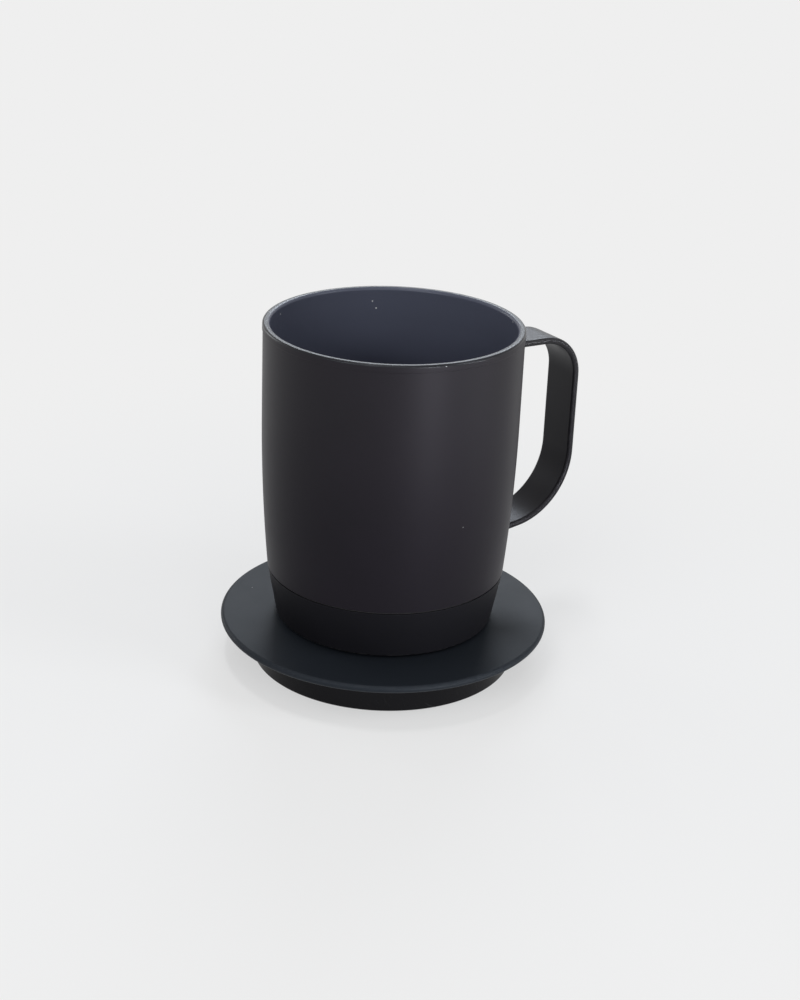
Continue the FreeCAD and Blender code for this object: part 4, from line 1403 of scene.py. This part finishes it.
@dataclass
class Handle(SubAssembly):
    """Bent strap that is welded to the wall at both ends."""

    line: WallLine
    wall: bpy.types.Object
    reach: float = measured(reach_of, "handle")
    top: float = measured(high_of, "handle")
    width: float = 15 * MM
    thick: float = 2.3 * MM
    edge_round: float = 1.05 * MM
    edge_facets: int = 7
    slope: float = math.radians(1.66)
    corner: float = 15.2 * MM
    corner_steps: int = 18
    belly: float = 24.7 * MM
    belly_height: float = 62.6 * MM
    belly_steps: int = 22
    sweep: float = math.radians(83)
    root_gap: float = 1.0 * MM
    weld_gaps: tuple[float, ...] = (0.5 * MM, 0.22 * MM, 0.08 * MM, -0.1 * MM)
    weld_flares: tuple[float, ...] = (0.0, 0.08 * MM, 0.14 * MM, 0.22 * MM)
    curve_room: float = 0.75 * MM
    ring_room: float = 0.05 * MM

    def build(self) -> None:
        """Make the strap: a section, swept along its arms and round its two bends."""
        middle = self.thick / 2
        along = Vector((math.cos(self.slope), 0, -math.sin(self.slope)))
        across = Vector((math.sin(self.slope), 0, math.cos(self.slope)))
        bend_x = self.reach - self.corner
        fall = (bend_x - self.line.radius) * math.tan(self.slope)
        bend = Vector((bend_x, 0, self.top - fall - self.corner / math.cos(self.slope)))
        arm_end = bend + across * (self.corner - middle)
        root = self.line.radius + self.root_gap
        start = arm_end - along * ((arm_end.x - root) / along.x)
        belly = Vector((self.reach - self.belly, 0, self.belly_height))
        strap = section("mug_handle", (self.thick, self.width), (0, RIGHT_ANGLE + self.slope, 0),
                        self.edge_round, start, self.edge_facets)
        strap.extrude(arm_end - start)
        self.spin(RIGHT_ANGLE - self.slope, bend, self.corner_steps)
        strap.extrude((0, 0, belly.z - bend.z))
        self.spin(self.sweep, belly, self.belly_steps)
        inward = Vector((-math.sin(self.sweep), 0, -math.cos(self.sweep)))
        arm = self.belly - middle
        bend_end = belly + Vector((math.cos(self.sweep), 0, -math.sin(self.sweep))) * arm
        low_root = self.line.at(bend_end.z) + self.root_gap
        end = bend_end + inward * ((bend_end.x - low_root) / -inward.x)
        strap.extrude(end - bend_end)
        strap.outward()
        self.weld(strap, start)
        self.weld(strap, end)
        strap.open()
        strap.outward()
        self.fit(strap, HANDLE_COAT, Body.MUG, "handle", "shell_coating")

    @staticmethod
    def spin(angle: float, centre: Vector, steps: int) -> None:
        """Sweep the selected section down round a bend."""
        bpy.ops.mesh.spin(steps=steps, angle=angle, center=tuple(centre), axis=(0, -1, 0))

    def weld(self, strap: Workpiece, end: Vector) -> None:
        """Carry one end of the strap to the wall, with a small flared fillet.

        Args:
            strap: The strap.
            end: Middle of its end.
        """
        reach = self.root_gap + self.curve_room
        for gap, flare in zip(self.weld_gaps, self.weld_flares):
            strap.open()
            strap.select(lambda v: (math.hypot(v.x, v.y) < self.line.at(v.z) + reach
                                    and abs(v.z - end.z) < self.thick), Pick.CORNERS)
            bpy.ops.mesh.select_mode(type="FACE")
            bpy.ops.mesh.extrude_region_move()
            strap.resize((1, 1 + 2 * flare / self.width, 1 + 2 * flare / self.thick), end)
            group = strap.object.vertex_groups.new(name="end")
            bpy.ops.object.vertex_group_assign()
            strap.modify("SHRINKWRAP", target=self.wall, wrap_method="PROJECT", offset=gap,
                         use_project_x=True, use_positive_direction=True,
                         use_negative_direction=True, wrap_mode="OUTSIDE_SURFACE",
                         vertex_group=group.name)
            strap.object.vertex_groups.clear()
            reach = gap + self.ring_room


@dataclass
class BaseBand(SubAssembly):
    """Darker band below the seam, with its ledge, its spigot and the light's window."""

    line: WallLine
    low: float = measured(low_of, "base_shell")
    high: float = measured(high_of, "base_shell")
    shoulder: float = measured(low_of, "seam_gasket")
    shoulder_round: float = 0.18 * MM
    seam: float = 33.0 * MM
    foot: float = 36.4 * MM
    foot_round: float = 0.8 * MM
    plate: float = 33.65 * MM
    plate_round: float = 0.15 * MM
    ledge_low: float = 18.9 * MM
    ledge_high: float = 20.3 * MM
    ledge_inner: float = 28.3 * MM
    wall: float = 1.8 * MM
    spigot_gap: float = 0.95 * MM
    spigot_thick: float = 1.4 * MM
    window: float = 1.06 * MM
    window_reach: float = 43.68 * MM

    def radius_at(self, height: float) -> float:
        """Outer radius of the band at a height."""
        share = (height - self.low) / (self.seam - self.low)
        return self.foot + share * (self.line.at(self.seam) - self.foot)

    def build(self) -> None:
        """Make the band."""
        spigot = self.line.at(self.seam) - self.spigot_gap
        inner = spigot - self.spigot_thick
        band = Turned("base_band", [
            Corner(self.plate, self.low, self.plate_round),
            Corner(self.foot, self.low, self.foot_round, steps=7),
            Corner(self.radius_at(self.shoulder), self.shoulder, self.shoulder_round, steps=3),
            Corner(spigot, self.shoulder),
            Corner(spigot, self.high),
            Corner(inner, self.high),
            Corner(inner, self.shoulder - self.wall),
            Corner(self.radius_at(self.ledge_high) - self.wall, self.ledge_high),
            Corner(self.ledge_inner, self.ledge_high),
            Corner(self.ledge_inner, self.ledge_low),
            Corner(self.plate, self.ledge_low)])
        band.cut(drills(ring_places(BASE_SCREW_CIRCLE, BASE_SCREW_TURN), BASE_SCREW_HOLE,
                        self.ledge_low - PAST, self.ledge_high + PAST))
        window = drills([(0, 0)], self.window, 0, self.window_reach)
        window.place((0, 0, LIGHT_HEIGHT), (-RIGHT_ANGLE, 0, 0))
        band.cut(window)
        self.fit(band, BAND_PLASTIC, Body.MUG, "base_shell", "base_band_plastic")


@dataclass
class CoasterDisc(SubAssembly):
    """Flat disc with the mug's recess, its centring ring and its screw bosses."""

    radius: float = measured(radius_of, "coaster_top")
    top: float = measured(high_of, "coaster_top")
    under: float = 12.8 * MM
    edge_round: float = 1.2 * MM
    recess: float = 34.0 * MM
    recess_floor: float = 14.3 * MM
    recess_round: float = 0.25 * MM
    spigot_outer: float = 41.95 * MM
    spigot_thick: float = 1.6 * MM
    spigot_low: float = 10.8 * MM
    spigot_round: float = 0.2 * MM
    boss_circle: float = 36.0 * MM
    boss_turn: float = 45.0
    boss_radius: float = 3.2 * MM
    boss_low: float = measured(low_of, "coaster_top")
    boss_bore: float = 1.32 * MM
    pin_hole: float = 1.06 * MM
    pin_lead_in: float = 0.3 * MM
    pin_lead_round: float = 0.5 * MM

    def build(self) -> None:
        """Make the disc."""
        ring = self.spigot_outer - self.spigot_thick
        disc = Turned("coaster_disc", [
            Corner(0, self.under),
            Corner(ring, self.under),
            Corner(ring, self.spigot_low, self.spigot_round),
            Corner(self.spigot_outer, self.spigot_low, self.spigot_round),
            Corner(self.spigot_outer, self.under),
            Corner(self.radius, self.under, self.edge_round, steps=9),
            Corner(self.radius, self.top, self.edge_round, steps=9),
            Corner(self.recess, self.top, self.recess_round, steps=4),
            Corner(self.recess, self.recess_floor, self.recess_round, steps=4),
            Corner(0, self.recess_floor)])
        for x in PIN_PLACES:
            disc.cut(self.pin_cutter(x))
        disc.add(posts(ring_places(self.boss_circle, self.boss_turn), self.boss_radius,
                       self.boss_bore, self.boss_low, self.under))
        self.fit(disc, DISC_PLASTIC, Body.COASTER, "coaster_top", "coaster_plastic")

    def pin_cutter(self, x: float) -> Workpiece:
        """Countersunk drill for one pin.

        Args:
            x: Where the pin stands.

        Returns:
            The drill.
        """
        mouth = self.pin_hole + self.pin_lead_in
        drill = Turned("pin_cutter", [
            Corner(0, self.under - PAST),
            Corner(self.pin_hole, self.under - PAST),
            Corner(self.pin_hole, self.recess_floor - self.pin_lead_in, self.pin_lead_round,
                   steps=3),
            Corner(mouth, self.recess_floor),
            Corner(mouth, self.top + PAST),
            Corner(0, self.top + PAST)], SMALL)
        drill.place((x, 0, 0))
        return drill


@dataclass
class CoasterDrum(SubAssembly):
    """Glossy drum under the disc, with the ledge for its cover and the inlet's opening."""

    radius: float = measured(radius_of, "drum_housing")
    low: float = measured(low_of, "drum_housing")
    high: float = measured(high_of, "drum_housing")
    wall: float = 2.0 * MM
    ledge_low: float = 2.4 * MM
    ledge_high: float = 3.6 * MM
    ledge_width: float = 1.8 * MM
    foot_round: float = 0.6 * MM
    inner_round: float = 0.2 * MM
    inlet_size: Pair = (9.24 * MM, 3.46 * MM)
    inlet_corner: float = 0.48
    inlet_room: float = 2 * MM

    def build(self) -> None:
        """Make the drum."""
        inner = self.radius - self.wall
        ledge = inner - self.ledge_width
        drum = Turned("coaster_drum", [
            Corner(inner, self.low, self.inner_round),
            Corner(self.radius, self.low, self.foot_round, steps=6),
            Corner(self.radius, self.high),
            Corner(inner, self.high),
            Corner(inner, self.ledge_high),
            Corner(ledge, self.ledge_high),
            Corner(ledge, self.ledge_low),
            Corner(inner, self.ledge_low)])
        corner = self.inlet_size[1] * self.inlet_corner
        drum.cut(flat_bar("mouth", self.inlet_size, corner,
                          (0, inner - self.inlet_room, INLET_HEIGHT),
                          self.wall + 2 * self.inlet_room, steps=6))
        self.fit(drum, DRUM_GLOSS, Body.COASTER, "drum_housing", "drum_gloss")


@dataclass
class Underside(SubAssembly):
    """Underside plate of the mug, its soft foot, its two contact rings and its button."""

    low: float = measured(low_of, "bottom_plate")
    stand_top: float = measured(high_of, "bottom_plate")
    radius: float = measured(radius_of, "bottom_plate")
    edge_round: float = 0.2 * MM
    foot_low: float = measured(low_of, "foot_ring")
    foot_high: float = measured(high_of, "foot_ring")
    foot_outer: float = measured(radius_of, "foot_ring")
    foot_width: float = 4.1 * MM
    foot_round: float = 0.6 * MM
    thick: float = 2.6 * MM
    tail_turns: Pair = (60.0, 120.0)
    tail_radius: float = 0.6 * MM
    tail_slack: float = 0.06 * MM
    contact_half: float = 1.5 * MM
    contact_thick: float = 1.0 * MM
    tiny_edge: float = 0.12 * MM
    head_hole: float = 2.05 * MM
    head_top: float = 18.2 * MM
    stand_circle: float = 24.0 * MM
    stand_turn: float = 30.0
    stand_radius: float = 2.2 * MM
    stand_bore: float = 0.92 * MM
    mark_circle: float = 24.4 * MM
    mark_turn: float = 90.0
    mark_radius: float = 1.6 * MM
    mark_depth: float = 0.12 * MM
    tread_radii: tuple[float, ...] = (30.1 * MM, 31.2 * MM)
    tread_width: float = 0.5 * MM
    tread_depth: float = 0.3 * MM
    tread_round: float = 0.08 * MM
    button_face: float = measured(low_of, "power_button")
    button_top: float = measured(high_of, "power_button")
    button_hole: float = 5.65 * MM
    button_hole_round: float = 0.35 * MM
    button_radius: float = 5.5 * MM
    button_round: float = 0.4 * MM
    dish_depth: float = 0.28 * MM
    dish_bend: Corner = Corner(3.2 * MM, 0.14 * MM, 8 * MM, 6)
    dish_edge: float = 4.6 * MM
    dish_edge_round: float = 0.8 * MM
    flange_radius: float = 6.8 * MM
    flange_low: float = 19.1 * MM
    flange_high: float = 19.8 * MM
    nib_radius: float = 1.5 * MM
    boot_radii: Pair = (5.6 * MM, 6.7 * MM)
    boot_wall: float = 0.5 * MM
    button_travel: float = 0.6 * MM

    def build(self) -> None:
        """Make all of the underside."""
        self.make_plate()
        self.make_foot()
        for side, circle, turn in zip(("inner", "outer"), CONTACT_CIRCLES, self.tail_turns):
            self.make_contact(side, circle, turn)
        self.make_button()
        self.make_boot()

    def make_plate(self) -> None:
        """Plate with its grooves, holes, moulding marks and board stands."""
        top = self.low + self.thick
        roof = self.low + self.contact_thick
        foot_inner = self.foot_outer - self.foot_width
        outline = [Corner(self.button_hole, self.low, self.button_hole_round, steps=4)]
        for circle in CONTACT_CIRCLES:
            outline += groove(circle - self.contact_half, circle + self.contact_half, self.low,
                              roof, self.tiny_edge)
        outline += [
            Corner(foot_inner, self.low, self.tiny_edge),
            Corner(foot_inner, self.foot_high),
            Corner(self.foot_outer, self.foot_high),
            Corner(self.foot_outer, self.low),
            Corner(self.radius, self.low, self.edge_round, steps=3),
            Corner(self.radius, top),
            Corner(self.button_hole, top)]
        plate = Turned("underside_plate", outline)
        under = self.low - PAST
        screws = ring_places(BASE_SCREW_CIRCLE, BASE_SCREW_TURN)
        plate.cut(drills(screws, self.head_hole, under, self.head_top))
        plate.cut(drills(screws, BASE_SCREW_HOLE, under, top + PAST))
        marks = ring_places(self.mark_circle, self.mark_turn, count=3)
        plate.cut(drills(marks, self.mark_radius, under, self.low + self.mark_depth))
        for circle, turn in zip(CONTACT_CIRCLES, self.tail_turns):
            tails = ring_places(circle, turn, count=2)
            plate.cut(drills(tails, self.tail_radius + self.tail_slack, self.low, top + PAST))
        plate.add(posts(ring_places(self.stand_circle, self.stand_turn), self.stand_radius,
                        self.stand_bore, top, self.stand_top))
        self.fit(plate, UNDERSIDE, Body.MUG, "bottom_plate", "underside_plastic")

    def make_foot(self) -> None:
        """Soft ring with two fine treads."""
        inner = self.foot_outer - self.foot_width
        outline = [Corner(inner, self.foot_low, self.foot_round, steps=6)]
        for radius in self.tread_radii:
            outline += groove(radius, radius + self.tread_width, self.foot_low,
                              self.foot_low + self.tread_depth, self.tread_round)
        outline += [
            Corner(self.foot_outer, self.foot_low, self.foot_round, steps=6),
            Corner(self.foot_outer, self.foot_high),
            Corner(inner, self.foot_high)]
        foot = Turned("foot_tread_ring", outline)
        self.fit(foot, FOOT_RUBBER, Body.MUG, "foot_ring", "soft_ring")

    def make_contact(self, side: str, circle: float, turn: float) -> None:
        """One gilt ring with its two tails.

        Args:
            side: Which of the two.
            circle: Radius of the ring's middle.
            turn: Angle of its first tail in degrees.
        """
        inner = circle - self.contact_half
        outer = circle + self.contact_half
        roof = self.low + self.contact_thick
        ring = Turned("gilt_ring_" + side, [
            Corner(inner, self.low, self.tiny_edge, steps=3),
            Corner(outer, self.low, self.tiny_edge, steps=3),
            Corner(outer, roof),
            Corner(inner, roof)])
        ring.add([drills(ring_places(circle, turn, count=2), self.tail_radius, roof,
                         self.stand_top)])
        self.fit(ring, GOLD, Body.MUG, "contact_ring_" + side, "contact_metal")

    def make_button(self) -> None:
        """Button with a dished face and the flange that keeps it in the plate."""
        face = self.button_face
        bend = self.dish_bend
        button = Turned("button_cap", [
            Corner(0, face + self.dish_depth),
            Corner(bend.radius, face + bend.height, bend.round, bend.steps),
            Corner(self.dish_edge, face, self.dish_edge_round, steps=4),
            Corner(self.button_radius, face, self.button_round, steps=5),
            Corner(self.button_radius, self.flange_low),
            Corner(self.flange_radius, self.flange_low),
            Corner(self.flange_radius, self.flange_high),
            Corner(self.nib_radius, self.flange_high),
            Corner(self.nib_radius, self.button_top),
            Corner(0, self.button_top)], MEDIUM)
        self.fit(button, BUTTON_PLASTIC, Body.BUTTON, "power_button", "button_plastic")

    def make_boot(self) -> None:
        """Soft cone between the button and the board."""
        narrow, wide = self.boot_radii
        boot = Turned("button_bellows", [
            Corner(narrow, self.flange_high),
            Corner(narrow + self.boot_wall, self.flange_high),
            Corner(wide + self.boot_wall, self.stand_top),
            Corner(wide, self.stand_top)], MEDIUM)
        soft = self.fit(boot, BOOT_RUBBER, Body.MUG, "button_boot", "soft_ring")
        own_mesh(soft)


@dataclass
class StatusLight(SubAssembly):
    """Milky rod that carries the status light to the outside of the base band."""

    start: float = 27.9 * MM
    start_round: float = 0.1 * MM
    end: float = measured(radius_of, "light_pipe")
    end_round: float = 0.25 * MM
    radius: float = 1.0 * MM
    flange_radius: float = 1.35 * MM
    flange_start: float = 34.35 * MM
    flange_thick: float = 1.0 * MM

    def build(self) -> None:
        """Make the rod, upright first and then turned to the back."""
        seat = self.flange_start + self.flange_thick
        rod = Turned("status_light_rod", [
            Corner(0, self.start),
            Corner(self.radius, self.start, self.start_round),
            Corner(self.radius, self.flange_start),
            Corner(self.flange_radius, self.flange_start),
            Corner(self.flange_radius, seat),
            Corner(self.radius, seat),
            Corner(self.radius, self.end, self.end_round, steps=5),
            Corner(0, self.end)], SMALL)
        rod.place((0, 0, LIGHT_HEIGHT), (-RIGHT_ANGLE, 0, 0))
        self.fit(rod, MILKY, Body.MUG, "light_pipe", "light_white")
        self.shop.dress("status_led", MILKY)


@dataclass
class CoasterPad(SubAssembly):
    """Soft pad that the coaster stands on, with shallow rings that keep it from sliding."""

    radius: float = measured(radius_of, "base_pad")
    high: float = measured(high_of, "base_pad")
    edge_round: float = 0.25 * MM
    groove_radii: tuple[float, ...] = (12 * MM, 20 * MM, 28 * MM, 36 * MM)
    groove_width: float = 1.1 * MM
    groove_depth: float = 0.3 * MM
    groove_round: float = 0.08 * MM

    def build(self) -> None:
        """Make the pad."""
        outline = [Corner(0, 0)]
        for radius in self.groove_radii:
            outline += groove(radius, radius + self.groove_width, 0, self.groove_depth,
                              self.groove_round)
        outline += [
            Corner(self.radius, 0, self.edge_round, steps=4),
            Corner(self.radius, self.high),
            Corner(0, self.high)]
        pad = Turned("grip_pad", outline)
        self.fit(pad, PAD_RUBBER, Body.COASTER, "base_pad", "pad_rubber")


@dataclass
class ChargingPins(SubAssembly):
    """Two sprung pins that reach through the disc, and the coils under them."""

    tip: float = measured(high_of, "charging_pin_inner")
    low: float = measured(low_of, "charging_pin_inner")
    radius: float = 1.0 * MM
    collar_radius: float = 1.2 * MM
    collar_height: float = 1.4 * MM
    collar_round: float = 0.12 * MM
    tip_length: float = 1.4 * MM
    tip_round: float = 0.8 * MM
    waist_depth: float = 0.06 * MM
    waist_end: float = 0.2 * MM
    wire: float = 0.26 * MM
    wire_sides: int = 10
    turns: int = 5
    turn_steps: int = 28
    coil_radius: float = 0.94 * MM
    coil_low: float = 6.9 * MM
    travel: float = 1.5 * MM

    def build(self) -> None:
        """Make the pins and the coils."""
        bodies = (Body.PIN_INNER, Body.PIN_OUTER)
        for body, side, x in zip(bodies, ("inner", "outer"), PIN_PLACES):
            self.make_pin(body, side, x)
            self.make_coil(side, x)
        self.shop.dress("pin_barrels", GOLD)

    def make_pin(self, body: Body, side: str, x: float) -> None:
        """One pin.

        Args:
            body: Its moving body.
            side: Which of the two.
            x: Where it stands.
        """
        collar = self.low + self.collar_height
        waist = self.radius - self.waist_depth
        neck = self.tip - self.tip_length
        pin = Turned("pin_" + side, [
            Corner(0, self.low),
            Corner(self.collar_radius, self.low, self.collar_round),
            Corner(self.collar_radius, collar, self.collar_round),
            Corner(waist, collar),
            Corner(waist, neck - self.waist_end),
            Corner(self.radius, neck),
            Corner(self.radius, self.tip, self.tip_round, steps=10),
            Corner(0, self.tip)], SMALL)
        pin.place((x, 0, 0))
        self.fit(pin, GOLD, body, "charging_pin_" + side, "contact_metal")

    def make_coil(self, side: str, x: float) -> None:
        """One coil under its pin.

        Args:
            side: Which of the two.
            x: Where it stands.
        """
        clear_selection()
        bpy.ops.mesh.primitive_circle_add(
            vertices=self.wire_sides, radius=self.wire / 2, rotation=(RIGHT_ANGLE, 0, 0),
            location=(self.coil_radius, 0, self.coil_low + self.wire / 2))
        coil = Workpiece("coil_" + side)
        tall = self.low - self.coil_low
        coil.modify("SCREW", angle=FULL_TURN, screw_offset=(tall - self.wire) / self.turns,
                    iterations=self.turns, steps=self.turn_steps, render_steps=self.turn_steps,
                    axis="Z", use_smooth_shade=True)
        coil.open()
        bpy.ops.mesh.fill_holes(sides=0)
        coil.outward()
        coil.place((x, 0, 0))
        spring = self.fit(coil, SPRING_STEEL, Body.COASTER, "pin_spring_" + side, "spring_steel")
        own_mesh(spring)


@dataclass
class PowerInlet(SubAssembly):
    """Metal mouth in the back of the drum, with its contact tongue."""

    size: Pair = (8.94 * MM, 3.16 * MM)
    corner: float = 0.49
    length: float = 7.3 * MM
    wall: float = 0.3 * MM
    mouth: float = 43.1 * MM
    rim_round: float = 0.1 * MM
    tongue_size: Pair = (6.7 * MM, 0.7 * MM)
    tongue_length: float = 5.0 * MM
    tongue_round: float = 0.14 * MM

    def build(self) -> None:
        """Make the mouth and the tongue."""
        start = self.mouth - self.length
        shell = flat_bar("inlet_mouth", self.size, self.size[1] * self.corner,
                         (0, start, INLET_HEIGHT), self.length, steps=10)
        bpy.ops.mesh.inset(thickness=self.wall)
        shell.extrude((0, self.wall - self.length, 0))
        self.round_end(shell, self.mouth, self.rim_round)
        self.fit(shell, INLET_METAL, Body.COASTER, "socket_shell", "socket_metal")
        tongue = flat_bar("inlet_tongue", self.tongue_size, self.tongue_round,
                          (0, start + self.wall, INLET_HEIGHT), self.tongue_length, steps=3)
        self.round_end(tongue, start + self.wall + self.tongue_length, self.tongue_round)
        self.fit(tongue, TONGUE, Body.COASTER, "socket_tongue", "tongue_plastic")

    @staticmethod
    def round_end(piece: Workpiece, end: float, edge: float) -> None:
        """Round the edges at the far end of a piece.

        Args:
            piece: The piece.
            end: How far it reaches along Y.
            edge: Radius of the rounding.
        """
        piece.select(lambda v: abs(v.y - end) < SAME)
        piece.bevel(edge, steps=3)
        piece.outward()


class Inside(SubAssembly):
    """Pieces inside the mug and the coaster, which keep the frame's shapes."""

    DRESS = {
        "bottom_cover": COVER_PLASTIC,
        "coaster_screws": STEEL,
        "charger_board": BOARD,
        "charger_chips": CHIP_BLACK,
        "charger_screws": STEEL,
        "power_switch": SWITCH_PLASTIC,
        "main_board": BOARD,
        "main_board_chips": CHIP_BLACK,
        "main_board_screws": STEEL,
        "battery_tray": TRAY_PLASTIC,
        "tray_lid": TRAY_PLASTIC,
        "cell_a": WRAP,
        "cell_b": WRAP,
        "cell_links": NICKEL,
        "mount_ring": STEEL,
        "base_screws": STEEL,
        "heater_film": FILM,
        "spreader_plate": SPREADER,
        "insulation_disc": FELT,
        "insulation_sleeve": FELT,
        "heater_leads": LEAD_SLEEVE,
        "temperature_sensor": LEAD_SLEEVE,
    }

    def build(self) -> None:
        """Dress every one of them."""
        for node, finish in self.DRESS.items():
            self.shop.dress(node, finish)


# Studio

@dataclass(frozen=True)
class Softbox:
    """A soft lamp, placed as the photographer stands: x to the right, y away, z up.

    Attributes:
        name: Name of the lamp.
        place: Where it hangs.
        aim: Where it points.
        size: Its width and height.
        power: Its power in watts.
        colour: Its colour.
        spread: Angle that its light fills, like a honeycomb before it.
    """

    name: str
    place: Place
    aim: Place
    size: Pair
    power: float
    colour: Colour = (0.95, 0.98, 1.0)
    spread: float = math.pi


@dataclass
class Studio:
    """Floor, world, lamps and camera, turned to where the photographer stood."""

    turn: float = math.radians(-34.0)
    stand_off: float = 548.7 * MM
    eye_height: float = 289.85 * MM
    yaw: float = 0.00749
    pitch: float = -0.40351
    roll: float = 0.04207
    lens: float = 64.8
    nearest: float = 0.01
    farthest: float = 30.0
    floor_radius: float = 6.0
    pale: Colour = (0.863, 0.863, 0.863)
    world_strength: float = 0.32
    floor_glow: float = 0.6
    glow_range: Pair = (0.09, 0.32)
    floor_drop: float = 0.05 * MM

    WHITE = (1.0, 1.0, 1.0)
    LAMPS = (
        Softbox("window_front_right", (0.62, -0.95, 0.0085), (0, 0, 0.07), (0.2, 0.013), 0.95,
                (0.96, 0.98, 1.0), math.radians(70)),
        Softbox("window_right", (1.25, -0.35, 0.0085), (0, 0, 0.07), (0.6, 0.013), 0.95,
                spread=math.radians(80)),
        Softbox("front_top", (-0.05, -1.15, 1.35), (0, 0, 0.08), (1.5, 1.1), 7.4, WHITE),
        Softbox("glint_left", (-0.62, -1.0, 0.54), (0, 0, 0.1), (0.75, 0.05), 4.0),
        Softbox("glint_right", (0.42, -1.1, 0.54), (0, 0, 0.1), (0.4, 0.05), 0.8),
        Softbox("right_high", (0.95, -0.35, 0.7), (0, 0, 0.1), (0.4, 0.4), 3.0),
        Softbox("ceiling_strip", (-0.2, 0.0, 1.6), (0, 0, 0.1), (0.4, 0.1), 4.0, WHITE),
        Softbox("back_sky", (0.16, 1.5, 0.97), (0, 0, 0.1), (0.9, 0.35), 10.3, (0.84, 0.91, 1.0)),
        Softbox("back_left", (-1.0, 0.75, 0.3), (0, 0, 0.06), (0.35, 0.5), 1.8),
    )

    def spot(self, place: Sequence[float]) -> Vector:
        """A studio place in the frame's own axes."""
        return Matrix.Rotation(self.turn, 3, "Z") @ Vector(place)

    def build(self) -> None:
        """Set up the whole studio."""
        self.make_camera()
        self.make_floor()
        self.make_world()
        for lamp in self.LAMPS:
            self.hang(lamp)
        bpy.context.scene.view_settings.view_transform = "Standard"

    def make_camera(self) -> None:
        """Stand the camera where the photograph was taken."""
        level = math.cos(self.pitch)
        ahead = Vector((math.sin(self.yaw) * level, math.cos(self.yaw) * level,
                        math.sin(self.pitch)))
        right = Vector((math.cos(self.yaw), -math.sin(self.yaw), 0))
        up = right.cross(ahead)
        tilted_right = math.cos(self.roll) * right + math.sin(self.roll) * up
        tilted_up = math.cos(self.roll) * up - math.sin(self.roll) * right
        axes = Matrix((tilted_right, tilted_up, -ahead)).transposed()
        camera = bpy.data.objects.new("camera", bpy.data.cameras.new("camera"))
        camera.data.lens = self.lens
        camera.data.clip_start = self.nearest
        camera.data.clip_end = self.farthest
        stand = Matrix.Translation(self.spot((0, -self.stand_off, self.eye_height)))
        camera.matrix_world = stand @ (Matrix.Rotation(self.turn, 3, "Z") @ axes).to_4x4()
        bpy.context.scene.collection.objects.link(camera)
        bpy.context.scene.camera = camera

    @staticmethod
    def start_graph(owner: Any) -> tuple[Graph, Socket]:
        """Start the graph of the floor's material or of the world.

        Args:
            owner: The material or the world.

        Returns:
            The graph, and the share of a ray that looks at the backdrop, mirrored or bent too.
        """
        owner.use_nodes = True
        graph = Graph(owner.node_tree)
        graph.tree.nodes.clear()
        path = graph.node("LightPath", {}).outputs
        straight = graph.math("ADD", path["Is Camera Ray"], path["Is Glossy Ray"])
        return graph, graph.clamped("ADD", straight, path["Is Transmission Ray"])

    def make_floor(self) -> None:
        """Wide pale floor that keeps the object's shadow."""
        clear_selection()
        bpy.ops.mesh.primitive_circle_add(vertices=MEDIUM, radius=self.floor_radius,
                                          fill_type="NGON", location=(0, 0, -self.floor_drop))
        floor = bpy.context.object
        floor.name = "floor"
        material = bpy.data.materials.new("pale_floor")
        graph, seen = self.start_graph(material)
        paper = graph.node("BsdfDiffuse", {"Color": opaque(self.pale)})
        glow = graph.node("Emission", {"Color": opaque(self.pale), "Strength": 1.0})
        place = graph.node("TexCoord", {}).outputs["Object"]
        glow_there = graph.between(graph.radius(place), *self.glow_range, self.floor_glow, 1.0)
        share = graph.times(seen, glow_there)
        both = graph.node("MixShader", {0: share, 1: paper.outputs[0], 2: glow.outputs[0]})
        graph.node("OutputMaterial", {"Surface": both.outputs[0]})
        floor.data.materials.append(material)

    def make_world(self) -> None:
        """Pale surround: seen as the backdrop, and giving a dimmer soft light."""
        world = bpy.data.worlds.new("studio")
        bpy.context.scene.world = world
        graph, seen = self.start_graph(world)
        extra = graph.times(seen, 1.0 - self.world_strength)
        strength = graph.math("ADD", extra, self.world_strength)
        light = graph.node("Background", {"Color": opaque(self.pale), "Strength": strength})
        graph.node("OutputWorld", {"Surface": light.outputs[0]})

    def hang(self, lamp: Softbox) -> None:
        """Hang one lamp.

        Args:
            lamp: The lamp.
        """
        data = bpy.data.lights.new(lamp.name, "AREA")
        data.shape = "RECTANGLE"
        data.size, data.size_y = lamp.size
        data.energy = lamp.power
        data.color = lamp.colour
        data.spread = lamp.spread
        holder = bpy.data.objects.new(lamp.name, data)
        holder.location = self.spot(lamp.place)
        away = self.spot(lamp.place) - self.spot(lamp.aim)
        holder.rotation_euler = away.to_track_quat("Z", "Y").to_euler()
        holder.visible_camera = False
        bpy.context.scene.collection.objects.link(holder)
        LOG.info("lamp %s: %.2f W", lamp.name, lamp.power)


def main() -> None:
    """Load the frame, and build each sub-assembly in order."""
    logging.basicConfig(level=logging.INFO, format="%(message)s")
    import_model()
    Studio().build()
    shop = PaintShop()
    line = WallLine()
    wall = OuterWall(shop, line).build()
    Liner(shop).build()
    Handle(shop, line, wall).build()
    BaseBand(shop, line).build()
    for part in (CoasterDisc, CoasterDrum, CoasterPad, PowerInlet, ChargingPins, Underside,
                 StatusLight, Inside):
        part(shop).build()


if __name__ == "__main__":
    main()
